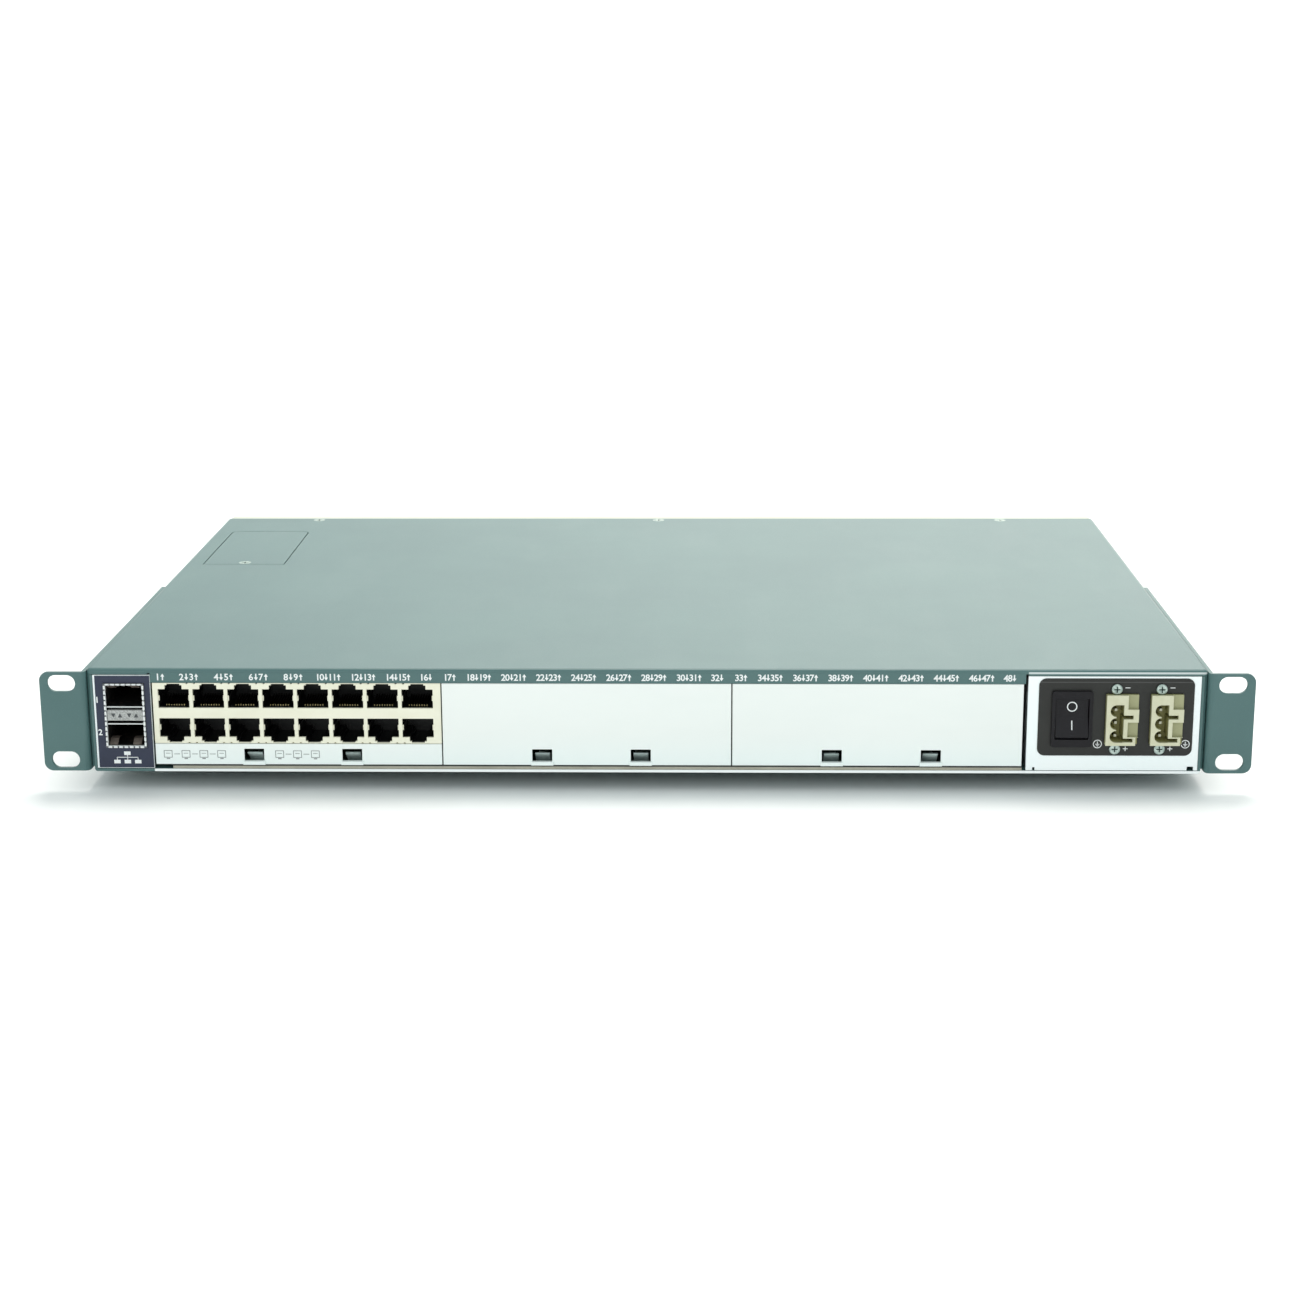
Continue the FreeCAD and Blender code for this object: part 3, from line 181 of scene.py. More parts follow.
area_light("top_light", (0.1, 0.5, 1.45), (0, 0.0, 0), (1.2, 0.8), 20, (1.0, 0.95, 0.9))
area_light("front_light", (-0.3, -2.2, 0.9), (0, face_y, 0.02), (2.0, 0.8), 6, (1.0, 1.0, 1.0))
area_light("wall_light", (0.8, 1.7, 1.5), (0.8, 3.0, 0.2), (2.4, 0.8), 46, (1.0, 0.97, 0.9))
world = bpy.data.worlds.new("studio")
world.use_nodes = True
world.node_tree.nodes["Background"].inputs["Color"].default_value = (0.92, 1.0, 1.0, 1)
world.node_tree.nodes["Background"].inputs["Strength"].default_value = 0.76
bpy.context.scene.world = world
bpy.context.scene.view_settings.view_transform = "Standard"

lens_data = bpy.data.cameras.new("camera")
lens_data.lens = 67.34
camera = bpy.data.objects.new("camera", lens_data)
pitch, yaw, roll = math.radians(14.6154), math.radians(-1.3797), math.radians(-0.2702)
ahead = Vector((math.sin(yaw) * math.cos(pitch), math.cos(yaw) * math.cos(pitch), -math.sin(pitch)))
level = Vector((math.cos(yaw), -math.sin(yaw), 0))
upward = level.cross(ahead)
right = math.cos(roll) * level + math.sin(roll) * upward
up = -math.sin(roll) * level + math.cos(roll) * upward
camera.matrix_world = Matrix((right, up, -ahead)).transposed().to_4x4()
camera.location = (0.0248, face_y - 0.9314, base_z + 0.2937)
bpy.context.scene.collection.objects.link(camera)
bpy.context.scene.camera = camera


# ---- Painted sheet: cover, tray, ears and access door
# Folded steel with a satin grey-teal powder coat: a fine orange-peel skin, a few smears and hair
# scratches, a painted highlight along the cover's lip over the power bay, and a near-white line along the
# tray's front edge.
def relief(height, depth, strength):
    """A bump from a height between 0 and 1, with its full depth in millimetres."""
    return height.make("Bump", {}, {"Height": height, "Distance": depth * mm, "Strength": strength})


def coat(material, *names, edge=0.0):
    """Gives CAD nodes their finish, and breaks their edges with a round, in millimetres."""
    for name in names:
        piece = nodes[name]
        piece.data.materials.clear()
        piece.data.materials.append(material)
        if edge:
            weld = piece.modifiers.new("weld", "WELD")
            weld.merge_threshold = 0.002 * mm
            plain = piece.modifiers.new("plain", "DECIMATE")
            plain.decimate_type, plain.angle_limit = "DISSOLVE", math.radians(1)
            bevel = piece.modifiers.new("edge", "BEVEL")
            bevel.width, bevel.segments = edge * mm, 2
            bevel.limit_method, bevel.angle_limit = "ANGLE", math.radians(35)
            bevel.harden_normals = True


def powder_coat(name, low, high, bright=None):
    """A satin powder coat between two shades, paler where a function of place says: the cover's painted lip
    highlight and the tray's near-white front edge.
    """
    paint, shader, place = finish(name, low, 0.36)
    clouds = place.noise(60, 3)
    peel = place.noise(0.55, 2)
    speck = place.noise(0.25, 1).above(0.72, 0.04)
    smear = place.noise(26, 4, 0.6, (1, 0.35, 1)).above(0.58, 0.12)
    hair = place.noise(34, 2, 0.5, (0.06, 1.6, 1)).above(0.74, 0.012)
    shade = clouds.above(0.5, 0.3).blend(low, high)
    shade = (speck * 0.25).blend(shade, tuple(min(1, 2.2 * c) for c in high))
    shade = (hair * 0.12).blend(shade, (0.5, 0.55, 0.55))
    if bright:
        shade = bright(place).blend(shade, (0.96, 1.0, 1.0))
    feed(shader, Base_Color=shade, Roughness=0.34 + peel * 0.08 - smear * 0.012,
         Normal=relief(peel + hair * 0.3, 0.02, 0.5))
    return paint


network_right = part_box("network_panel")[1].x
power_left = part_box("power_panel")[0].x
cover_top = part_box("top_cover")[1].z
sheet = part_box("emi_gasket")[0].z - base_z


def rubbed_lip(place):
    """A painted highlight: a bright line along the cover's lip over the power bay."""
    front = 1 - place.axis("Y").above(face_y + 0.6 * mm, 0.3 * mm)
    line = place.axis("Z").within(cover_top - 1.7 * mm, cover_top - 0.95 * mm, 0.12 * mm)
    return line * front * place.axis("X").above(power_left, 0.1 * mm) * 0.6


def tray_edge(place):
    """The tray's front edge below the cards and the power bay, coloured near white."""
    low = 1 - place.axis("Z").above(base_z + sheet, 0.03 * mm)
    front = 1 - place.axis("Y").above(face_y + 0.25 * mm, 0.05 * mm)
    return low * front * place.axis("X").above(network_right, 0.2 * mm)


dark_teal, light_teal = (0.066, 0.142, 0.142), (0.078, 0.162, 0.158)
teal_coat = powder_coat("teal_coat", dark_teal, light_teal)
coat(teal_coat, "left_rack_ear", "right_rack_ear", "access_door", edge=0.2)
coat(powder_coat("cover_coat", dark_teal, light_teal, rubbed_lip), "top_cover", edge=0.2)
coat(powder_coat("tray_coat", dark_teal, light_teal, tray_edge), "base_tray", edge=0.15)


# ---- Port numbers on the cover's header
# White screen-printed figures with an arrow to the upper or the lower row, in the same pattern
# over each of the three bays. The print stands a few hundredths of a millimetre proud.
def add_shape(flat, points):
    """Adds a flat outline, given in millimetres across and up."""
    flat.faces.new([flat.verts.new((x * mm, 0, z * mm)) for x, z in points])


def add_ring(flat, x, z, outer, inner):
    """Adds a flat ring."""
    angles = [math.tau * k / 28 for k in range(29)]
    for a, b in zip(angles, angles[1:]):
        add_shape(flat, [(x + r * math.cos(t), z + r * math.sin(t))
                         for r, t in ((outer, a), (outer, b), (inner, b), (inner, a))])


def add_bar(flat, x, z, across, high):
    """Adds a rectangle about its middle."""
    add_shape(flat, [(x - across / 2, z - high / 2), (x + across / 2, z - high / 2),
                     (x + across / 2, z + high / 2), (x - across / 2, z + high / 2)])


def add_figures(flat, words, left, z, high, weight=0.0):
    """Adds numerals from a left edge about a height, and returns how far they reach."""
    curve = bpy.data.curves.new("figures", "FONT")
    curve.body, curve.resolution_u, curve.offset = words, 3, weight
    holder = bpy.data.objects.new("figures", curve)
    mesh = bpy.data.meshes.new_from_object(holder)
    low = Vector([min(v.co[k] for v in mesh.vertices) for k in range(2)])
    top = Vector([max(v.co[k] for v in mesh.vertices) for k in range(2)])
    scale = high / (top.y - low.y)
    made = [flat.verts.new(((left + (v.co.x - low.x) * scale) * mm, 0,
                            (z - high / 2 + (v.co.y - low.y) * scale) * mm)) for v in mesh.vertices]
    for polygon in mesh.polygons:
        flat.faces.new([made[k] for k in polygon.vertices])
    bpy.data.objects.remove(holder)
    bpy.data.meshes.remove(mesh)
    bpy.data.curves.remove(curve)
    return (top.x - low.x) * scale


def printed(name, node, flat, material, body):
    """Lays flat shapes on the port side of a CAD node and gives them a thickness."""
    outward, ink_thick = Vector((0, -1, 0)), 0.03 * mm
    for vert in flat.verts:
        start = Vector((vert.co.x, face_y - 20 * mm, vert.co.z))
        hit, point, _, _ = nodes[node].ray_cast(start, -outward)
        vert.co.y = point.y if hit else face_y
    bmesh.ops.remove_doubles(flat, verts=flat.verts, dist=0.001 * mm)
    made = bmesh.ops.extrude_face_region(flat, geom=flat.faces[:])
    moved = [g for g in made["geom"] if isinstance(g, bmesh.types.BMVert)]
    bmesh.ops.translate(flat, verts=moved, vec=outward * ink_thick)
    bmesh.ops.recalc_face_normals(flat, faces=flat.faces)
    new_mesh(name, flat, material, body)


def box_mm(name):
    """The lowest and highest corner of a CAD node, in millimetres."""
    return [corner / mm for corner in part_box(name)]


white_ink, shader, place = finish("white_ink", (0.86, 0.88, 0.88), 0.5)
feed(shader, Base_Color=place.noise(0.5, 2).above(0.35, 0.15).blend((0.7, 0.74, 0.74), (0.88, 0.9, 0.9)))
bays = [box_mm(name) for name in ("card_bracket", "blank_panel_a", "blank_panel_b")]
jack_low, jack_high = box_mm("jack_block")
jack_columns, jack_pitch, jack_end = 8, 13.95, 1.4
figure_h, figure_weight, figure_drop = 2.75, 0.018, 0.45
arrow_w, arrow_shaft = 1.6, 0.5
figure_z = (jack_high.z + box_mm("top_cover")[1].z) / 2 - figure_drop
first_in, last_in, wall_shift = 3.4, 5.6, -0.4


def arrow(flat, middle, z, upward):
    """Adds an arrow as high as the figures beside it."""
    s = 1 if upward else -1
    half, neck = figure_h / 2, figure_h * 0.05
    add_shape(flat, [(middle + dx, z + s * dz) for dx, dz in (
        (-arrow_shaft / 2, -half), (arrow_shaft / 2, -half), (arrow_shaft / 2, neck), (arrow_w / 2, neck),
        (0, half), (-arrow_w / 2, neck), (-arrow_shaft / 2, neck))])


def number_mark(flat, middle, *numbers):
    """Adds one or two numbers with their arrows, which point up for odd ones."""
    digits = max(len(str(n)) for n in numbers)
    step = {1: 2.0, 2: 1.68}[digits]
    signs = [c for n in numbers for c in (*str(n), "up" if n % 2 else "down")]
    at = middle - step * (len(signs) - 1) / 2
    for sign in signs:
        if sign in ("up", "down"):
            arrow(flat, at, figure_z, sign == "up")
        else:
            trial = bmesh.new()
            width = add_figures(trial, sign, 0, 0, figure_h)
            trial.free()
            add_figures(flat, sign, at - width / 2, figure_z, figure_h, figure_weight)
        at += step


flat = bmesh.new()
for (low, high), first in zip(bays, (1, 17, 33)):
    number_mark(flat, low.x + first_in, first)
    for column in range(1, jack_columns):
        odd = first + 2 * column
        number_mark(flat, low.x + jack_end + jack_pitch * column + wall_shift, odd - 1, odd)
    number_mark(flat, high.x - last_in, first + 2 * jack_columns - 1)
printed("header_numbers", "top_cover", flat, white_ink, "chassis")


# ---- Screws
# Zinc-plated steel: countersunk in the cover, ears and door, pan heads elsewhere, each with a
# driver's cross. Handling has dulled the plating in patches, and the crosses are painted near black as
# shade; the fan's screws have dark flecks instead.
def zinc_plate(name, below, *screws):
    """Dulled zinc plate, near black where a function of place says: painted shade in the driver's cross,
    dark flecks on the fan's screws.
    """
    zinc, shader, place = finish(name, (0.62, 0.66, 0.65), 0.32, 0.9)
    dull = place.noise(1.1, 4).above(0.5, 0.2)
    metal = dull.blend((0.52, 0.6, 0.56), (0.3, 0.38, 0.35))
    feed(shader, Base_Color=below(place).blend(metal, (0.03, 0.05, 0.045)), Roughness=0.28 + dull * 0.2,
         Normal=relief(place.noise(0.3, 2), 0.02, 0.3))
    coat(zinc, *screws)


def under_top(node):
    """Places more than a quarter of a millimetre below the top of a node's heads."""
    return lambda place: 1 - place.axis("Z").above(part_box(node)[1].z - 0.25 * mm, 0.06 * mm)


def behind_front(node):
    """Places from 0.3 to 0.8 millimetres behind the front of a node's heads."""
    head_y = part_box(node)[0].y
    return lambda place: place.axis("Y").within(head_y + 0.3 * mm, head_y + 0.8 * mm, 0.05 * mm)


def sunk_in_side(node):
    """Places in the crosses of the screws in the two sides."""
    side_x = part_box(node)[1].x
    return lambda place: 1 - (place.axis("X") * place.axis("X")).above((side_x - 0.25 * mm) ** 2, 0.00003)


# Painted shade: the driver's crosses of these screws are coloured near black.
zinc_plate("zinc_top", under_top("cover_screws"), "cover_screws", "door_screw")
zinc_plate("zinc_port", behind_front("inlet_screws"), "inlet_screws")
zinc_plate("zinc_side", sunk_in_side("ear_screws"), "ear_screws")
zinc_plate("zinc_board", under_top("board_screws"), "board_screws")
zinc_plate("zinc_fan", lambda place: place.noise(0.8, 2).above(0.72, 0.05), "fan_screws")


# ---- Far-side moulding and status lights
# A shallow shell of pale moulded plastic over the far wall, with slots for the fans' air. Three
# clear light pipes, tinted green and amber, are pressed into it.
ivory, shader, place = finish("ivory_moulding", (0.57, 0.58, 0.5), 0.5)
grain = place.noise(0.4, 3)
feed(shader, Base_Color=place.noise(120, 2).above(0.55, 0.2).blend((0.6, 0.62, 0.55), (0.55, 0.56, 0.47)),
     Roughness=0.46 + grain * 0.12, Normal=relief(grain, 0.03, 0.4))
coat(ivory, "rear_bezel", edge=0.3)
pipe, shader, place = finish("light_pipe", (0.1, 0.5, 0.2), 0.15, Coat_Weight=0.6)
light_low, light_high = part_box("status_lights")
amber = place.axis("X").above(light_low.x + (light_high.x - light_low.x) * 0.36, 0.3 * mm)
tint = amber.blend((0.12, 0.52, 0.2), (0.75, 0.42, 0.06))
feed(shader, Base_Color=(place.noise(1.2, 2) * 0.5).blend(tint, (0.8, 0.86, 0.8)),
     Roughness=0.1 + place.noise(0.6, 2) * 0.15)
coat(pipe, "status_lights", edge=0.15)


# ---- First card's jacks
# One glass-filled cream moulding with two rows of eight jacks, painted near black as shade from just
# behind the face. Eight gold wires bend back inside each jack, painted dark as shade where they run deep.
cream, shader, place = finish("jack_cream", (0.8, 0.82, 0.68), 0.5)
flow = place.noise(7, 3, 0.5, (0.5, 1, 1))
# Painted shade: deeper than 1.15 mm behind the face the jacks are coloured near black.
depth = place.axis("Y").above(face_y + 1.15 * mm, 0.12 * mm)
face_shade = flow.above(0.5, 0.3).blend((0.84, 0.82, 0.66), (0.89, 0.87, 0.72))
feed(shader, Base_Color=depth.blend(face_shade, (0.004, 0.004, 0.004)), Roughness=0.52 - depth * 0.1,
     Normal=relief(place.noise(0.35, 3), 0.02, 0.5))
coat(cream, "jack_block", edge=0.12)
gold, shader, place = finish("jack_gold", (0.83, 0.62, 0.25), 0.3, 1.0)
# Painted shade: the wires darken to near black more than 3.4 mm behind the face.
shade_back = place.axis("Y").above(face_y + 3.4 * mm, 0.35 * mm)
wear = place.noise(0.5, 2)
feed(shader, Base_Color=shade_back.blend((0.8, 0.66, 0.36), (0.012, 0.009, 0.005)),
     Roughness=0.24 + wear * 0.12 + shade_back * 0.4)
coat(gold, "jack_contacts")


def add_slab(bm, low, high, round_by=0.0, index=0):
    """Adds a block between two corners, in millimetres, with its edges broken."""
    low, high = Vector(low), Vector(high)
    part = bmesh.new()
    bmesh.ops.create_cube(part, size=1.0, matrix=Matrix.LocRotScale((low + high) / 2, None, high - low))
    if round_by:
        bmesh.ops.bevel(part, geom=part.edges[:], offset=round_by, segments=2, affect="EDGES")
    made = {v: bm.verts.new(v.co * mm) for v in part.verts}
    for face in part.faces:
        bm.faces.new([made[v] for v in face.verts]).material_index = index
    part.free()


def mottled(name, low, high, noise, rough, spread=0.0, metal=0.0, bump=None, **more):
    """A finish that one noise carries between two colours and over a spread of roughness."""
    middle = [(a + b) / 2 for a, b in zip(low, high)]
    material, shader, place = finish(name, middle, rough, metal, **more)
    cloud = place.noise(*noise)
    feed(shader, Base_Color=cloud.blend(low, high))
    if spread:
        feed(shader, Roughness=rough + cloud * spread)
    if bump:
        feed(shader, Normal=relief(cloud, *bump))
    return material


shield_tin = mottled("shield_tin", (0.5, 0.52, 0.5), (0.68, 0.7, 0.68), (3, 3, 0.5, (1, 0.2, 1)),
                     0.3, 0.15, 1.0)
bm = bmesh.new()
first_tail, tail_pitch, tail_half = 1.4, 1.02, 0.22
for column in range(jack_columns):
    for side in (-1, 1):
        for pin in range(4):
            x = jack_low.x + jack_end + jack_pitch * (column + 0.5) + side * (first_tail + tail_pitch * pin)
            add_slab(bm, (x - tail_half, jack_high.y, jack_low.z + 0.15),
                     (x + tail_half, jack_high.y + 0.5, jack_low.z + 3.2), 0.06)
new_mesh("jack_solder_tails", bm, shield_tin, "card")


# ---- Card strip and blank panels
# Plain sheet with a smooth white coat, square windows and short lips for a finger. The lowest
# part carries a faint cool tint, and the faces have light smears from handling.
white_coat, shader, place = finish("white_coat", (0.82, 0.87, 0.84), 0.34)
smear = place.noise(40, 4, 0.6, (0.4, 1, 1.4)).above(0.55, 0.2)
low_tint = place.axis("Z").above(base_z + 9 * mm, 9 * mm)
upper = smear.blend((0.88, 0.91, 0.885), (0.855, 0.89, 0.865))
feed(shader, Base_Color=low_tint.blend((0.87, 0.945, 0.93), upper), Roughness=0.3 + smear * 0.12,
     Normal=relief(place.noise(0.6, 2), 0.01, 0.4))
coat(white_coat, "card_bracket", "blank_panel_a", "blank_panel_b", edge=0.15)
grey_ink, shader, place = finish("grey_ink", (0.32, 0.34, 0.34), 0.5)
feed(shader, Base_Color=place.noise(0.4, 2).above(0.4, 0.2).blend((0.42, 0.44, 0.44), (0.27, 0.29, 0.29)))
flat = bmesh.new()
strip_low, strip_high = bays[0]
strip_z, symbol_pitch = (strip_low.z + strip_high.z) / 2, 7.2
for start, count in ((5.0, 4), (50.0, 3)):
    for n in range(count):
        x = strip_low.x + start + symbol_pitch * n
        for across, high, dx, dz in ((3.4, 0.3, 0, 1.4), (3.4, 0.3, 0, -1.4), (0.3, 2.8, -1.6, 0),
                                     (0.3, 2.8, 1.6, 0), (1.4, 0.5, 0, -1.9), (1.8, 0.26, 0, 0.3)):
            add_bar(flat, x + dx, strip_z + dz, across, high)
        if n < count - 1:
            add_bar(flat, x + symbol_pitch / 2, strip_z, 2.4, 0.3)
printed("strip_symbols", "card_bracket", flat, grey_ink, "card")


# ---- Bay fittings: gasket, spring clips and card guides
# A strip of conductive cloth over foam seals the bays' foot. Each bay has two folded spring-steel
# clips on the tray, and black nylon guides carry the cards' edges.
cloth, shader, place = finish("gasket_cloth", (0.5, 0.48, 0.4), 0.7, Sheen_Weight=0.3)
threads = [place.bands(way, 650.0, 0.4) for way in "XZ"]
weave = threads[0] * 0.5 + threads[1] * 0.5
soil = place.noise(14, 3).above(0.55, 0.15)
# Painted shade: the gasket's top edge is coloured near black as the shadow line under the panels.
painted_gap_shade = place.axis("Z").above(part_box("emi_gasket")[1].z - 0.55 * mm, 0.1 * mm)
cloth_shade = (soil * 0.35).blend(weave.blend((0.3, 0.28, 0.22), (0.56, 0.54, 0.45)), (0.26, 0.24, 0.19))
feed(shader, Base_Color=painted_gap_shade.blend(cloth_shade, (0.03, 0.032, 0.03)), Normal=relief(weave, 0.12, 0.8))
coat(cloth, "emi_gasket", edge=0.25)
spring = mottled("spring_steel", (0.66, 0.8, 0.78), (0.84, 0.96, 0.94), (1.2, 3, 0.5, (1, 0.08, 1)),
                 0.34, 0.16, 0.2)
coat(spring, "bay_spring_clips", edge=0.1)
nylon = mottled("guide_nylon", (0.014, 0.015, 0.016), (0.03, 0.031, 0.032), (0.5, 2), 0.38, 0.15,
                bump=(0.02, 0.4))
coat(nylon, "card_guides", edge=0.15)


# ---- Panels of the network and power bays, and the sheet behind them
# Bright zinc-plated steel, drawn left to right by the rolls, with a pale cool cast. The inner wall
# and the door's keeper are the same stock with the mill's spangle left on.
plate, shader, place = finish("bright_plate", (0.93, 0.99, 1.0), 0.34, 0.1)
rolled = place.noise(1.5, 3, 0.6, (0.06, 1, 1))
cloud = place.noise(30, 3)
feed(shader, Base_Color=cloud.blend((0.91, 0.99, 1.0), (0.97, 1.0, 1.0)), Roughness=0.3 + rolled * 0.14,
     Normal=relief(rolled, 0.01, 0.5))
coat(plate, "network_panel", "power_panel", edge=0.12)
spangled, shader, place = finish("spangled_sheet", (0.6, 0.63, 0.64), 0.4, 0.9)
flakes = place.make("TexVoronoi", {}, {"Vector": place, "Scale": 220.0}, "Color")
flake = flakes.make("SeparateXYZ", {}, {0: flakes}, 0)
feed(shader, Base_Color=flake.blend((0.5, 0.53, 0.54), (0.68, 0.71, 0.72)), Roughness=0.34 + flake * 0.2)
coat(spangled, "power_shield", "door_keeper", edge=0.15)


# ---- Network bay: printed film, transceiver cage and its light guide
# A navy film is glued round the cage. The cage is folded tinned steel, painted near black inside as shade
# with a few rust-brown flecks, with a ring of sprung fingers against the panel and a frosted guide between
# its two bays.
film, shader, place = finish("navy_film", (0.012, 0.018, 0.05), 0.42)
sand = place.noise(0.3, 2)
feed(shader, Base_Color=place.noise(9, 3).blend((0.012, 0.018, 0.045), (0.02, 0.028, 0.064)),
     Roughness=0.36 + sand * 0.16, Normal=relief(sand, 0.01, 0.4))
coat(film, "network_label")
cage, shader, place = finish("cage_tin", (0.7, 0.72, 0.72), 0.35, 0.9)
# Painted shade: more than half a millimetre behind the face the cage is coloured near black, with a few
# rust-brown flecks.
inside = place.axis("Y").above(face_y + 0.5 * mm, 0.25 * mm)
inside_shade_and_rust = place.noise(2.2, 3).above(0.6, 0.08).blend((0.006, 0.005, 0.005), (0.05, 0.035, 0.026))
feed(shader, Base_Color=inside.blend((0.72, 0.75, 0.75), inside_shade_and_rust), Roughness=0.3 + inside * 0.3,
     Metallic=0.9 - inside * 0.6)
coat(cage, "sfp_cage", edge=0.08)
rim_steel = mottled("rim_steel", (0.1, 0.105, 0.12), (0.24, 0.25, 0.27), (0.7, 3), 0.34, 0.16, 0.6)
coat(rim_steel, "sfp_spring_rim", edge=0.1)
finger_steel = mottled("finger_steel", (0.78, 0.8, 0.8), (0.95, 0.96, 0.96), (0.9, 3), 0.26, 0.16, 0.5)
rim_low, rim_high = box_mm("sfp_spring_rim")
bm = bmesh.new()
finger_w, finger_gap, finger_bow = 1.5, 0.65, 0.32
finger_foot = rim_low.y + 0.02


def add_finger(bm, x, z, along_x, outward):
    """One sprung finger: a short leaf that bows forward from the cage and turns back to the panel."""
    rows = []
    for out, bow in ((-0.1, 0.0), (0.1, 0.6), (0.3, 1.0), (0.5, 0.9), (0.68, 0.2)):
        pair = []
        for side in (-1, 1):
            shift, away = side * finger_w / 2, outward * out
            pair.append(Vector((x + (shift if along_x else away), finger_foot - bow * finger_bow,
                                z + (away if along_x else shift))))
        rows.append([bm.verts.new(p * mm) for p in pair])
    for a, b in zip(rows, rows[1:]):
        bm.faces.new((a[0], a[1], b[1], b[0]))


for low, high, along_x in ((rim_low.x, rim_high.x, True), (rim_low.z, rim_high.z, False)):
    count = int((high - low - 0.4 + finger_gap) / (finger_w + finger_gap))
    first = (low + high) / 2 - (count - 1) / 2 * (finger_w + finger_gap)
    for n in range(count):
        at = first + n * (finger_w + finger_gap)
        for outward in (-1, 1):
            edge = {(True, 1): rim_high.z, (True, -1): rim_low.z, (False, 1): rim_high.x,
                    (False, -1): rim_low.x}[along_x, outward] - outward * 0.7
            add_finger(bm, at if along_x else edge, edge if along_x else at, along_x, outward)
fingers = new_mesh("cage_fingers", bm, finger_steel, "chassis")
leaf = fingers.modifiers.new("leaf", "SOLIDIFY")
leaf.thickness = 0.08 * mm
tab_metal = mottled("cage_tab_metal", (0.12, 0.09, 0.07), (0.32, 0.27, 0.24), (1.2, 3), 0.4, 0.2, 0.5)
bm = bmesh.new()
cage_low, cage_high = box_mm("sfp_cage")
for end_z, s in ((cage_high.z - 0.35, -1), (cage_low.z + 0.35, 1)):
    for x0, x1 in ((cage_low.x + 0.6, cage_low.x + 3.9), (cage_high.x - 5.6, cage_high.x - 2.2)):
        path = [(1.2, 0.0), (2.2, 0.9), (4.0, 2.1), (6.5, 2.3), (9.0, 1.6)]
        rows = [[bm.verts.new(Vector((x, cage_low.y + y, end_z + s * up)) * mm) for x in (x0, x1)]
                for y, up in path]
        for a, b in zip(rows, rows[1:]):
            bm.faces.new((a[0], a[1], b[1], b[0]))
tabs = new_mesh("cage_ground_springs", bm, tab_metal, "chassis")
tab_leaf = tabs.modifiers.new("leaf", "SOLIDIFY")
tab_leaf.thickness = 0.12 * mm
guide_clear, shader, place = finish("guide_frosted", (0.4, 0.41, 0.4), 0.35)
frost = place.noise(0.5, 3)
feed(shader, Base_Color=frost.above(0.5, 0.15).blend((0.3, 0.31, 0.3), (0.5, 0.51, 0.5)),
     Roughness=0.28 + frost * 0.25)
coat(guide_clear, "sfp_light_guide", edge=0.1)
socket_black, shader, place = finish("socket_black", (0.012, 0.012, 0.013), 0.5)
ribbing = place.bands("X", 390.0)
feed(shader, Base_Color=ribbing.above(0.8, 0.1).blend((0.01, 0.01, 0.011), (0.4, 0.3, 0.1)),
     Roughness=0.5 - ribbing * 0.1)
coat(socket_black, "sfp_sockets")
flat = bmesh.new()
guide_low, guide_high = box_mm("sfp_light_guide")
z = (guide_low.z + guide_high.z) / 2
for shift, s in ((3.4, -1), (6.1, 1), (9.8, -1), (12.6, 1)):
    x = rim_low.x + shift
    add_shape(flat, [(x - 0.95, z - s * 0.85), (x + 0.95, z - s * 0.85), (x, z + s * 0.95)])
dark_ink = mottled("dark_ink", (0.04, 0.045, 0.05), (0.08, 0.085, 0.09), (0.4, 2), 0.5)
printed("guide_arrows", "sfp_light_guide", flat, dark_ink, "chassis")
flat = bmesh.new()
cage_mid_x = (rim_low.x + rim_high.x) / 2
for numeral, z in (("1", 29.9), ("2", 16.4)):
    add_figures(flat, numeral, rim_low.x - 3.0, z, 2.5, 0.02)
branch, twig = 4.2, 0.28
for x, z in ((0, 7.6), (-branch, 4.1), (0, 4.1), (branch, 4.1)):
    add_bar(flat, cage_mid_x + x, z, 2.6, 1.5)
add_bar(flat, cage_mid_x, 5.9, 8.7, twig)
for x, z in ((0, 6.5), (-branch, 5.4), (0, 5.4), (branch, 5.4)):
    add_bar(flat, cage_mid_x + x, z, twig, 1.2)
printed("network_signs", "network_label", flat, white_ink, "chassis")


# ---- Power bay: printed film, rocker switch and its marks
# A dark film frames the switch and the two power headers. The rocker is glossy black nylon in a
# black housing that snaps into the panel, with a ring and a bar printed on its two halves.
dark_film, shader, place = finish("brown_film", (0.013, 0.013, 0.012), 0.4, Specular_IOR_Level=0.4)
sand = place.noise(0.3, 2)
film_low, film_high = box_mm("power_label")
top_line = place.axis("Z").within((film_high.z - 1.75) * mm, (film_high.z - 1.35) * mm, 0.1 * mm)
film_shade = place.noise(12, 3).blend((0.011, 0.012, 0.01), (0.022, 0.022, 0.02))
feed(shader, Base_Color=(top_line * 0.5).blend(film_shade, (0.1, 0.1, 0.1)), Roughness=0.34 + sand * 0.18,
     Normal=relief(sand, 0.01, 0.4))
coat(dark_film, "power_label")
rocker_black, shader, place = finish("switch_black", (0.008, 0.007, 0.01), 0.3, Specular_IOR_Level=0.22)
polish = place.noise(2.5, 3)
feed(shader, Base_Color=polish.blend((0.005, 0.0045, 0.0065), (0.012, 0.011, 0.014)),
     Roughness=0.24 + polish * 0.16, Normal=relief(place.noise(0.4, 2), 0.01, 0.3))
coat(rocker_black, "switch_housing", "switch_rocker", edge=0.15)
rocker_low, rocker_high = box_mm("switch_rocker")
rocker_mid, bar_step = (rocker_low + rocker_high) / 2, 0.72
flat = bmesh.new()
add_ring(flat, rocker_mid.x, rocker_mid.z + 4.3, 2.05, 1.65)
for k in range(5):
    add_bar(flat, rocker_mid.x, rocker_mid.z - 4.6 + bar_step * k, 0.42, bar_step)
printed("rocker_marks", "switch_rocker", flat, white_ink, "rocker")
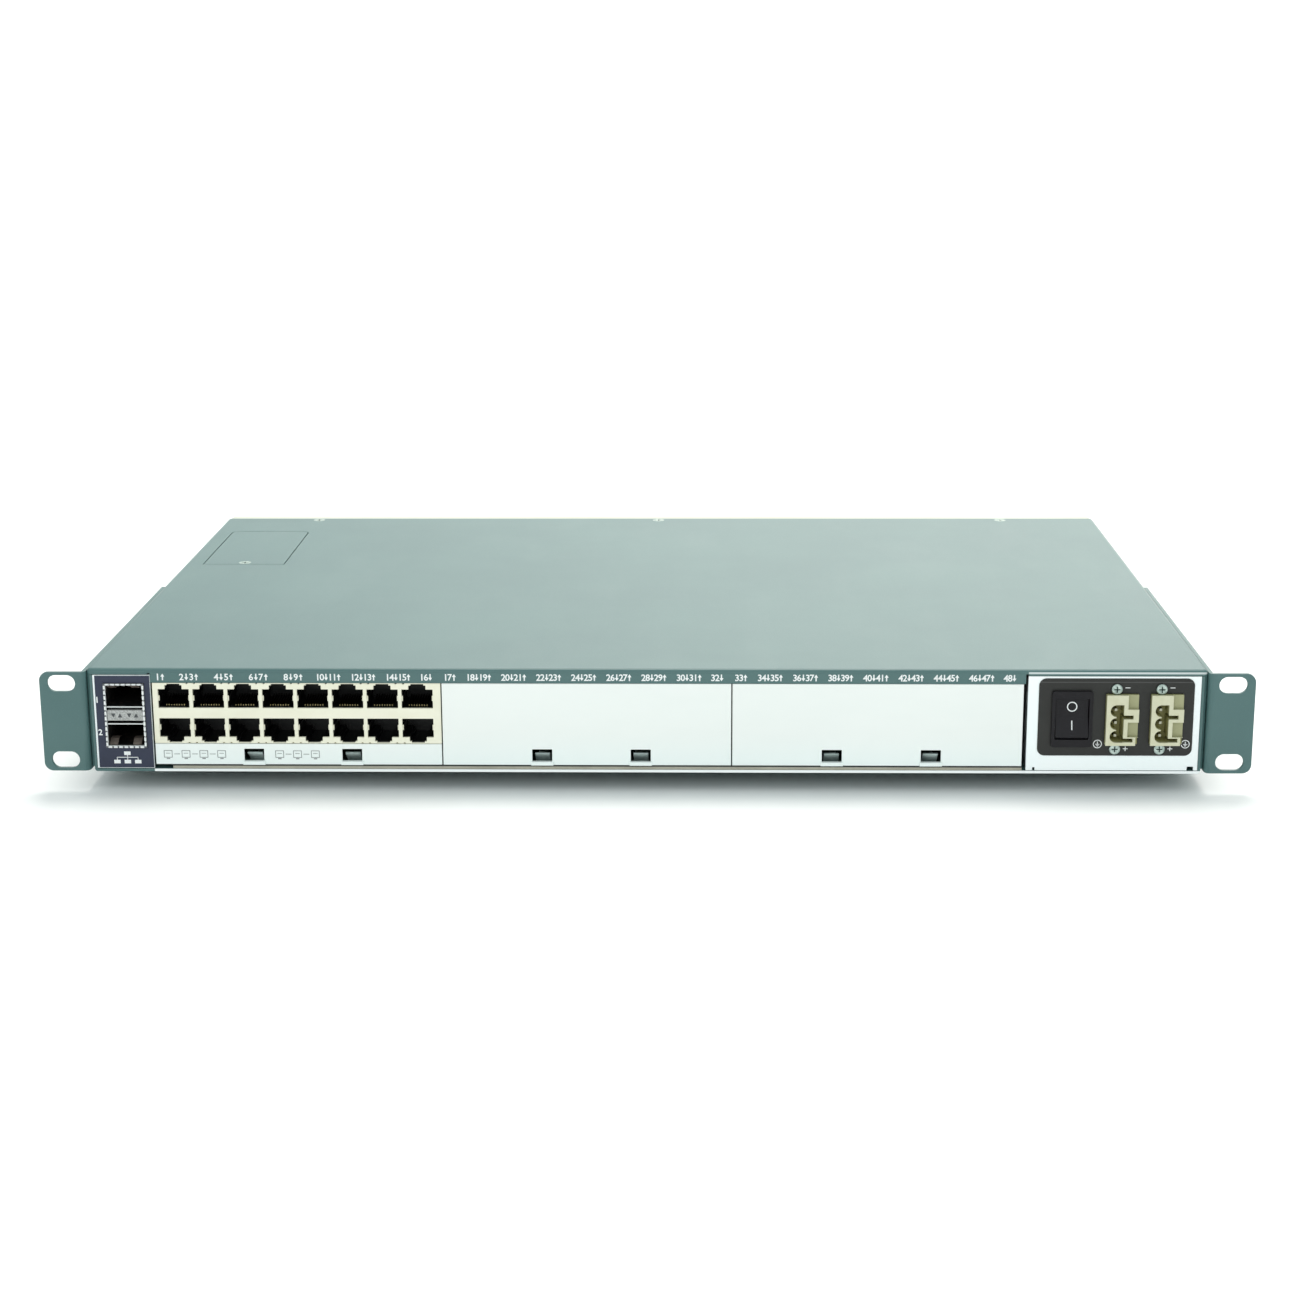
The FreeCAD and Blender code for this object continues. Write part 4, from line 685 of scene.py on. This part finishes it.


# ---- Power headers
# Two keyed three-way headers in olive-cream nylon, each held by two screws through the panel.
# Tinned square pins stand in their wells. The wells and the recess round them are painted darker and more
# olive than the face as shade, and so are the pins deep in the wells.
olive, shader, place = finish("header_olive", (0.62, 0.6, 0.42), 0.45)
header_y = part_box("power_inlet_a")[0].y
# Painted shade: the recess and the wells behind the face are coloured darker and more olive.
recess = place.axis("Y").above(header_y + 0.7 * mm, 0.3 * mm)
well = place.axis("Y").above(header_y + 2.3 * mm, 0.5 * mm)
skin = place.noise(3, 3).above(0.5, 0.3).blend((0.6, 0.59, 0.41), (0.66, 0.65, 0.48))
lower = recess.blend(skin, (0.36, 0.36, 0.2))
feed(shader, Base_Color=well.blend(lower, (0.36, 0.34, 0.13)), Roughness=0.42 + recess * 0.12,
     Normal=relief(place.noise(0.35, 3), 0.02, 0.5))
coat(olive, "power_inlet_a", "power_inlet_b", edge=0.15)
tinned, shader, place = finish("tinned_brass", (0.72, 0.73, 0.7), 0.3, 1.0)
tin_cloud = place.noise(1.2, 3)
# Painted shade: the pins turn dark olive more than 2.9 mm behind the headers' face.
tip = 1 - place.axis("Y").above(header_y + 2.9 * mm, 0.3 * mm)
feed(shader, Base_Color=tip.blend((0.16, 0.15, 0.07), tin_cloud.blend((0.3, 0.3, 0.22), (0.5, 0.5, 0.42))),
     Roughness=0.34 + tin_cloud * 0.1)
coat(tinned, "inlet_pins", "switch_tabs")
flat = bmesh.new()
headers = [box_mm(name) for name in ("power_inlet_a", "power_inlet_b")]
stroke, minus_z, plus_z, earth_z = 0.3, film_high.z - 3.8, film_low.z + 2.9, film_low.z + 4.85
for low, high in headers:
    x = (low.x + high.x) / 2 + 2.0
    for z in (minus_z, plus_z):
        add_bar(flat, x, z, 1.9, stroke)
    for dz in (0.55, -0.55):
        add_bar(flat, x, plus_z + dz, stroke, 0.8)
for x in (headers[0][0].x - 2.7, headers[1][1].x + 1.6):
    add_ring(flat, x, earth_z, 1.75, 1.45)
    add_bar(flat, x, earth_z + 0.55, stroke, 1.0)
    for across, dz in ((1.7, -0.1), (1.0, -0.52), (0.4, -0.94)):
        add_bar(flat, x, earth_z + dz, across, 0.22)
printed("power_signs", "power_label", flat, white_ink, "chassis")


# ---- Circuit boards
# Woven glass and resin, 1.6 mm thick, under a green solder mask: faint copper tracks and tinned
# pads show through it, and the sawn edges are bare straw-coloured resin.
def board_coat(name, low, high, track):
    """Solder mask over tracks and pads, with bare edges."""
    board, shader, place = finish(name, low, 0.35)
    turned = place.make("VectorRotate", {"rotation_type": "Z_AXIS"}, {"Vector": place, "Angle": math.pi / 2})
    lines = [spot.make("TexBrick", {"offset": 0.37}, {"Vector": spot, "Scale": 1.0, "Mortar Size": 0.00012,
                                                      "Brick Width": 0.0071, "Row Height": row}, 1)
             for spot, row in ((place, 0.0011), (turned, 0.0016))]
    zone = place.noise(16, 1).above(0.5, 0.02)
    tracks = lines[0] * zone + lines[1] * (1 - zone)
    dots = place.make("TexVoronoi", {}, {"Vector": place, "Scale": 330.0, "Randomness": 0.35}, "Distance")
    pads = (1 - dots.above(0.17, 0.02)) * place.noise(8, 1).above(0.52, 0.02)
    normal = place.make("NewGeometry", out="Normal").axis("Z")
    side = 1 - (normal * normal).above(0.5, 0.1)
    shade = (tracks * 0.6).blend(place.noise(30, 2).blend(low, high), track)
    shade = pads.blend(shade, (0.66, 0.66, 0.6))
    feed(shader, Base_Color=side.blend(shade, (0.42, 0.36, 0.16)), Metallic=pads * (1 - side) * 0.8,
         Roughness=0.32 + side * 0.35, Normal=relief(tracks + pads, 0.03, 0.6))
    return board


mask_green = board_coat("mask_green", (0.008, 0.075, 0.03), (0.014, 0.095, 0.04), (0.03, 0.17, 0.07))
coat(mask_green, "main_board", "card_board", "backplane_board", "power_board", "memory_card")


# ---- Chips and their legs
# Matt black epoxy packages with a moulded dot at pin one and a fine surface from the tool. Tinned
# gull-wing legs, one row a side, run down to the board.
epoxy = mottled("chip_epoxy", (0.015, 0.015, 0.016), (0.032, 0.032, 0.034), (0.25, 2), 0.55, 0.15,
                bump=(0.02, 0.5))


def solids(name):
    """The lowest and highest corner of each separate solid in a CAD node, in millimetres."""
    bm = bmesh.new()
    bm.from_mesh(nodes[name].data)
    bmesh.ops.remove_doubles(bm, verts=bm.verts, dist=0.001 * mm)
    left, found = set(bm.verts), []
    while left:
        group, edge = set(), [next(iter(left))]
        while edge:
            vert = edge.pop()
            if vert not in group:
                group.add(vert)
                edge += [e.other_vert(vert) for e in vert.link_edges]
        left -= group
        spans = [[v.co[k] / mm for v in group] for k in range(3)]
        found.append((Vector([min(s) for s in spans]), Vector([max(s) for s in spans])))
    bm.free()
    return sorted(found, key=lambda pair: tuple(round(c, 2) for c in pair[0]))


def leg_row(bm, start, along, out, count, pitch, top, foot):
    """A row of gull-wing legs from a point on a package's side."""
    path = [(-0.1, top), (0.35, top), (0.6, foot + 0.15), (1.25, foot + 0.15), (1.25, foot), (0.45, foot),
            (0.25, top - 0.15), (-0.1, top - 0.15)]
    for n in range(count):
        middle = start + along * (pitch * (n - (count - 1) / 2))
        rings = [[bm.verts.new((middle + along * s * leg_half + out * o + Vector((0, 0, z))) * mm)
                  for o, z in path] for s in (-1, 1)]
        bm.faces.new(rings[0])
        bm.faces.new(rings[1][::-1])
        for k in range(len(path)):
            a, b = k, (k + 1) % len(path)
            bm.faces.new((rings[0][b], rings[0][a], rings[1][a], rings[1][b]))


def add_turned(bm, centre, profile, steps, sideways=False):
    """Adds rings about a point, from pairs of a radius and a lift in millimetres; returns the last."""
    rings = []
    for r, lift in profile:
        ring = []
        for angle in (math.tau * k / steps for k in range(steps)):
            a, b = r * math.cos(angle), r * math.sin(angle)
            ring.append(bm.verts.new((centre + Vector((a, lift, b) if sideways else (a, b, lift))) * mm))
        rings.append(ring)
    for outer, inner in zip(rings, rings[1:]):
        for k in range(steps):
            n = (k + 1) % steps
            bm.faces.new((outer[k], outer[n], inner[n], inner[k]))
    return rings[-1]


leg_pitch, leg_half, leg_free, dot_in = 0.8, 0.17, 1.4, 1.5
for name, body in (("card_chips", "card"), ("logic_chips", "chassis")):
    coat(epoxy, name, edge=0.15)
    legs, dots = bmesh.new(), bmesh.new()
    for low, high in solids(name):
        middle, half = (low + high) / 2, (high - low) / 2
        for along, out, reach, length in ((Vector((1, 0, 0)), Vector((0, 1, 0)), half.y, half.x),
                                          (Vector((0, 1, 0)), Vector((1, 0, 0)), half.x, half.y)):
            for s in (-1, 1):
                start = Vector((middle.x, middle.y, 0)) + out * s * reach
                count = int((2 * length - leg_free) / leg_pitch)
                leg_row(legs, start, along, out * s, count, leg_pitch, middle.z, low.z)
        spot = Vector((low.x + dot_in, high.y - dot_in, high.z))
        dots.faces.new(add_turned(dots, spot, ((0.55, 0.0), (0.5, 0.03), (0.4, 0.03)), 18))
    bmesh.ops.recalc_face_normals(legs, faces=legs.faces)
    new_mesh(name + "_legs", legs, shield_tin, body)
    new_mesh(name + "_dots", dots, grey_ink, body)


# ---- Small parts on the boards
# Chip resistors and capacitors with tinned ends, placed in short rows by the machine. They fill
# the free areas of the card, the main board and the power board.
ceramic, shader, place = finish("part_ceramic", (0.25, 0.2, 0.13), 0.45)
kind = place.noise(2.6, 0).above(0.5, 0.01)
feed(shader, Base_Color=kind.blend((0.02, 0.02, 0.022), (0.32, 0.25, 0.16)), Roughness=0.4 + kind * 0.1)
random.seed(7)
margin, given_back = 2.4, 1.8
row_step, long_half, wide_half, cap_start, cap_grow = 1.6, 0.8, 0.42, 0.66, 0.03


def clear_of(x, y, keep_out):
    """Says whether a point is clear of every box by the margin."""
    return all(not (low.x - margin < x < high.x + margin and low.y - margin < y < high.y + margin)
               for low, high in keep_out)


def small_parts(name, body, area, top, keep_out, count):
    """Scatters chip parts in short rows. One keeps the next off by the margin less what it gives back."""
    bm = bmesh.new()
    (x0, y0), (x1, y1) = area
    for _ in range(count):
        x, y = round(random.uniform(x0, x1)), round(random.uniform(y0, y1))
        lying = random.random() < 0.5
        for n in range(random.choice((1, 2, 3, 4))):
            cx, cy = (x, y + row_step * n) if lying else (x + row_step * n, y)
            if not (clear_of(cx, cy, keep_out) and x0 < cx < x1 and y0 < cy < y1):
                continue
            high = random.choice((0.45, 0.6, 0.8))
            for part, (a, b) in enumerate(((-1.0, -cap_start), (-cap_start, cap_start), (cap_start, 1.0))):
                grow = 0.0 if part == 1 else cap_grow
                spans = ((a * long_half, -wide_half - grow), (b * long_half, wide_half + grow))
                (ax, ay), (bx, by) = spans if lying else ((s[1], s[0]) for s in spans)
                add_slab(bm, (cx + ax, cy + ay, top), (cx + bx, cy + by, top + high + grow), 0.04,
                         0 if part == 1 else 1)
            keep_out.append([Vector((cx + s * given_back, cy + s * given_back, 0)) for s in (1, -1)])
    piece = new_mesh(name, bm, ceramic, body)
    piece.data.materials.append(shield_tin)


def board_area(name, inset):
    """A board's outline from above, set in from its edges, and its top."""
    low, high = box_mm(name)
    return ((low.x + inset, low.y + inset), (high.x - inset, high.y - inset)), high.z


for board, body, inset, front, count, standing in (
        ("card", "card", 3, jack_low.y + 27, 70, ("card_chips", "card_plug")),
        ("main", "chassis", 4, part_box("backplane_board")[1].y / mm + 6, 190,
         ("logic_chips", "board_connectors", "heat_sink", "coin_cell", "board_screws")),
        ("power", "chassis", 4, None, 40,
         ("power_coils", "power_capacitors", "power_heat_sink", "board_connectors"))):
    (near, far), top = board_area(board + "_board", inset)
    if front is not None:
        near = (near[0], front)
    keep_out = [box for name in standing for box in solids(name)]
    small_parts(board + "_small_parts", body, (near, far), top, keep_out, count)


# ---- Connectors, memory and the clock's cell
# Dark moulded connectors, a memory card held by its two latches under the access door, and a
# stainless coin cell with a coined rim in its holder.
grey_mould, shader, place = finish("connector_mould", (0.05, 0.05, 0.052), 0.45)
fine = place.noise(0.5, 2)
ribs = place.bands("X", 245.0).above(0.7, 0.1)
feed(shader, Base_Color=(ribs * 0.4).blend((0.035, 0.035, 0.037), (0.07, 0.07, 0.072)),
     Roughness=0.4 + fine * 0.15, Normal=relief(ribs, 0.05, 0.5))
coat(grey_mould, "board_connectors", "card_plug", "backplane_sockets", edge=0.12)
stainless = mottled("cell_steel", (0.58, 0.59, 0.58), (0.8, 0.81, 0.8), (2.0, 3, 0.5, (0.15, 1, 1)),
                    0.22, 0.14, 1.0)
coat(stainless, "coin_cell", edge=0.25)


def add_pad(bm, x, y, z, across, deep, thick, round_by, sunk=0.0):
    """Adds a slab on a surface, about its middle and sunk in by a little."""
    half = Vector((across / 2, deep / 2, 0))
    add_slab(bm, Vector((x, y, z - sunk)) - half, Vector((x, y, z + thick)) + half, round_by)


cell_low, cell_high = box_mm("coin_cell")
cell_x, cell_y = (cell_low.x + cell_high.x) / 2, (cell_low.y + cell_high.y) / 2
bm = bmesh.new()
add_turned(bm, Vector((cell_x, cell_y, cell_high.z)), ((8.2, 0.0), (8.0, 0.1), (7.7, 0.1), (7.5, 0.0)), 36)
for across, deep in ((4.0, 0.7), (0.7, 4.0)):
    add_pad(bm, cell_x, cell_y, cell_high.z, across, deep, 0.08, 0.03, 0.02)
new_mesh("cell_coining", bm, stainless, "chassis")
memory_low, memory_high = box_mm("memory_card")
bm, tabs = bmesh.new(), bmesh.new()
for n in range(4):
    add_pad(bm, memory_low.x + 12.25, memory_low.y + 9.5 + 15.5 * n, memory_high.z, 12.5, 11.0, 1.0, 0.12)
for n in range(60):
    add_pad(tabs, memory_low.x + 3.5, memory_low.y + 3.9 + n, memory_high.z, 1.8, 0.64, 0.05, 0.0, 0.02)
new_mesh("memory_chips", bm, epoxy, "chassis")
tab_gold = mottled("tab_gold", (0.74, 0.54, 0.2), (0.86, 0.68, 0.32), (0.8, 2), 0.28, metal=1.0)
new_mesh("memory_contacts", tabs, tab_gold, "chassis")


# ---- Posts and heat sinks
# Turned brass posts carry the boards. The heat sinks are extruded aluminium with the die's lines
# along their fins and a thin clear anodised skin.
brass, shader, place = finish("turned_brass", (0.75, 0.56, 0.24), 0.32, 1.0)
feed(shader, Base_Color=place.noise(4, 3).blend((0.66, 0.46, 0.17), (0.82, 0.64, 0.3)),
     Roughness=0.26 + place.bands("Z", 900.0, 0.5) * 0.14)
coat(brass, "board_posts")
alloy = mottled("anodised_alloy", (0.5, 0.51, 0.52), (0.7, 0.71, 0.72), (0.8, 3, 0.5, (1, 0.05, 1)),
                0.34, 0.14, 0.95, (0.02, 0.4))
coat(alloy, "heat_sink", "power_heat_sink", edge=0.15)


# ---- Power parts: transformer, ring coil, capacitors and leads
# The transformer's dark ferrite halves clamp a bobbin wrapped in yellow tape, and the ring coil is
# wound with bare enamelled wire. Capacitors have printed sleeves and scored aluminium tops.
wound, shader, place = finish("wound_parts", (0.5, 0.38, 0.05), 0.45)
(ring_low, ring_high), (form_low, form_high) = sorted(solids("power_coils"), key=lambda pair: pair[1].z)
flange = 5
taped = place.axis("Z").within((form_low.z + flange) * mm, (form_high.z - flange) * mm, 0.2 * mm)
taped = taped * place.axis("Y").above((form_low.y - flange) * mm, 0.5 * mm)
laps = place.bands("Z", 110.0, 0.6)
feed(shader, Base_Color=taped.blend(place.noise(1, 3).blend((0.02, 0.02, 0.022), (0.05, 0.05, 0.054)),
                                    laps.blend((0.55, 0.4, 0.03), (0.7, 0.54, 0.06))),
     Roughness=0.6 - taped * 0.3, Normal=relief(laps * taped, 0.05, 0.4))
coat(wound, "power_coils", edge=0.3)
copper = mottled("enamelled_copper", (0.5, 0.18, 0.05), (0.68, 0.3, 0.11), (1.5, 2), 0.28, metal=0.9,
                 Coat_Weight=0.5)
winding = bpy.data.curves.new("ring_winding", "CURVE")
winding.dimensions = "3D"
winding.bevel_depth, winding.bevel_resolution = 0.36 * mm, 2
wire_turns, wound_angle, lift, bend = 26, 330, 0.35, 0.6
ring_mid, ring_half = (ring_low + ring_high) / 2, (ring_high - ring_low) / 2
outer_r, inner_r, half_h = ring_half.x + lift, 3.4, ring_half.z + lift
section = [(outer_r, bend - half_h), (outer_r, half_h - bend), (outer_r - bend, half_h),
           (inner_r + bend, half_h), (inner_r, half_h - bend), (inner_r, bend - half_h),
           (inner_r + bend, -half_h), (outer_r - bend, -half_h)]
path = winding.splines.new("POLY")
path.points.add(wire_turns * len(section) - 1)
for k in range(len(path.points)):
    r, z = section[k % len(section)]
    angle = math.radians(wound_angle * k / len(path.points))
    place_at = ring_mid + Vector((r * math.cos(angle), r * math.sin(angle), max(z, -half_h + 0.5)))
    path.points[k].co = (*(place_at * mm), 1)
winding.materials.append(copper)
winding_piece = bpy.data.objects.new("ring_winding", winding)
bpy.context.scene.collection.objects.link(winding_piece)
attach(winding_piece, "chassis")
sleeve, shader, place = finish("capacitor_sleeve", (0.012, 0.014, 0.03), 0.35)
tops = place.make("NewGeometry", out="Normal").axis("Z").above(0.7, 0.1)
shrink = place.noise(2.5, 3, 0.5, (1, 1, 0.3))
sleeve_shade = shrink.blend((0.01, 0.012, 0.025), (0.02, 0.022, 0.04))
feed(shader, Base_Color=tops.blend(sleeve_shade, (0.62, 0.63, 0.64)), Metallic=tops * 0.9,
     Roughness=0.32 + shrink * 0.12)
coat(sleeve, "power_capacitors", edge=0.5)
stripes, scores = bmesh.new(), bmesh.new()
for low, high in solids("power_capacitors"):
    middle, r = (low + high) / 2, (high.x - low.x) / 2
    angles = [math.radians(a) for a in range(-20, 21, 5)]
    spokes = [Vector((math.cos(a), math.sin(a), 0)) * (r + 0.03) for a in angles]
    rows = [[stripes.verts.new((Vector((middle.x, middle.y, z)) + spoke) * mm) for spoke in spokes]
            for z in (low.z + 1.0, high.z - 1.4)]
    for k in range(len(angles) - 1):
        stripes.faces.new((rows[0][k], rows[0][k + 1], rows[1][k + 1], rows[1][k]))
    for across, deep in ((r, 0.35), (0.35, r)):
        add_pad(scores, middle.x, middle.y, high.z, across, deep, 0.06, 0.02, 0.02)
new_mesh("capacitor_stripes", stripes, grey_ink, "chassis")
new_mesh("capacitor_scores", scores, shield_tin, "chassis")
lead_skin, shader, place = finish("lead_skin", (0.03, 0.03, 0.03), 0.4)
lead_gap_y, power_leads_x = 60.5, 130
red_side = 1 - place.axis("Y").above(lead_gap_y * mm, 0.1 * mm)
red_side = red_side * place.axis("X").above(power_leads_x * mm, 1 * mm)
matt = place.noise(1.5, 2)
black_skin = matt.blend((0.012, 0.012, 0.013), (0.03, 0.03, 0.031))
feed(shader, Base_Color=red_side.blend(black_skin, (0.5, 0.02, 0.015)), Roughness=0.36 + matt * 0.14)
coat(lead_skin, "leads")


# ---- Fans
# Three 38 mm axial fans behind the far wall: glass-filled black frames, glossier seven-bladed
# rotors, and a plain silver sticker over each hub.
frame_black = mottled("fan_frame_black", (0.011, 0.011, 0.012), (0.026, 0.026, 0.027), (0.6, 4), 0.44,
                      0.14, bump=(0.03, 0.5))
rotor_black = mottled("fan_rotor_black", (0.015, 0.015, 0.016), (0.03, 0.03, 0.031), (3, 2), 0.28, 0.12)
sticker = mottled("hub_sticker", (0.55, 0.56, 0.56), (0.68, 0.69, 0.69), (2, 2), 0.35, metal=0.6)
for n in (1, 2, 3):
    coat(frame_black, f"fan_{n}_frame", edge=0.2)
    coat(rotor_black, f"fan_{n}_rotor")
    low, high = box_mm(f"fan_{n}_rotor")
    middle = (low + high) / 2
    start = Vector((middle.x + 2, high.y + 20, middle.z)) * mm
    _, hub, _, _ = nodes[f"fan_{n}_rotor"].ray_cast(start, Vector((0, -1, 0)))
    middle.y = hub.y / mm
    bm = bmesh.new()
    add_turned(bm, middle, ((6.6, 0.01), (6.5, 0.1), (2.2, 0.1), (2.0, 0.02)), 36, sideways=True)
    bmesh.ops.recalc_face_normals(bm, faces=bm.faces)
    new_mesh(f"fan_{n}_hub_sticker", bm, sticker, f"rotor_{n}")
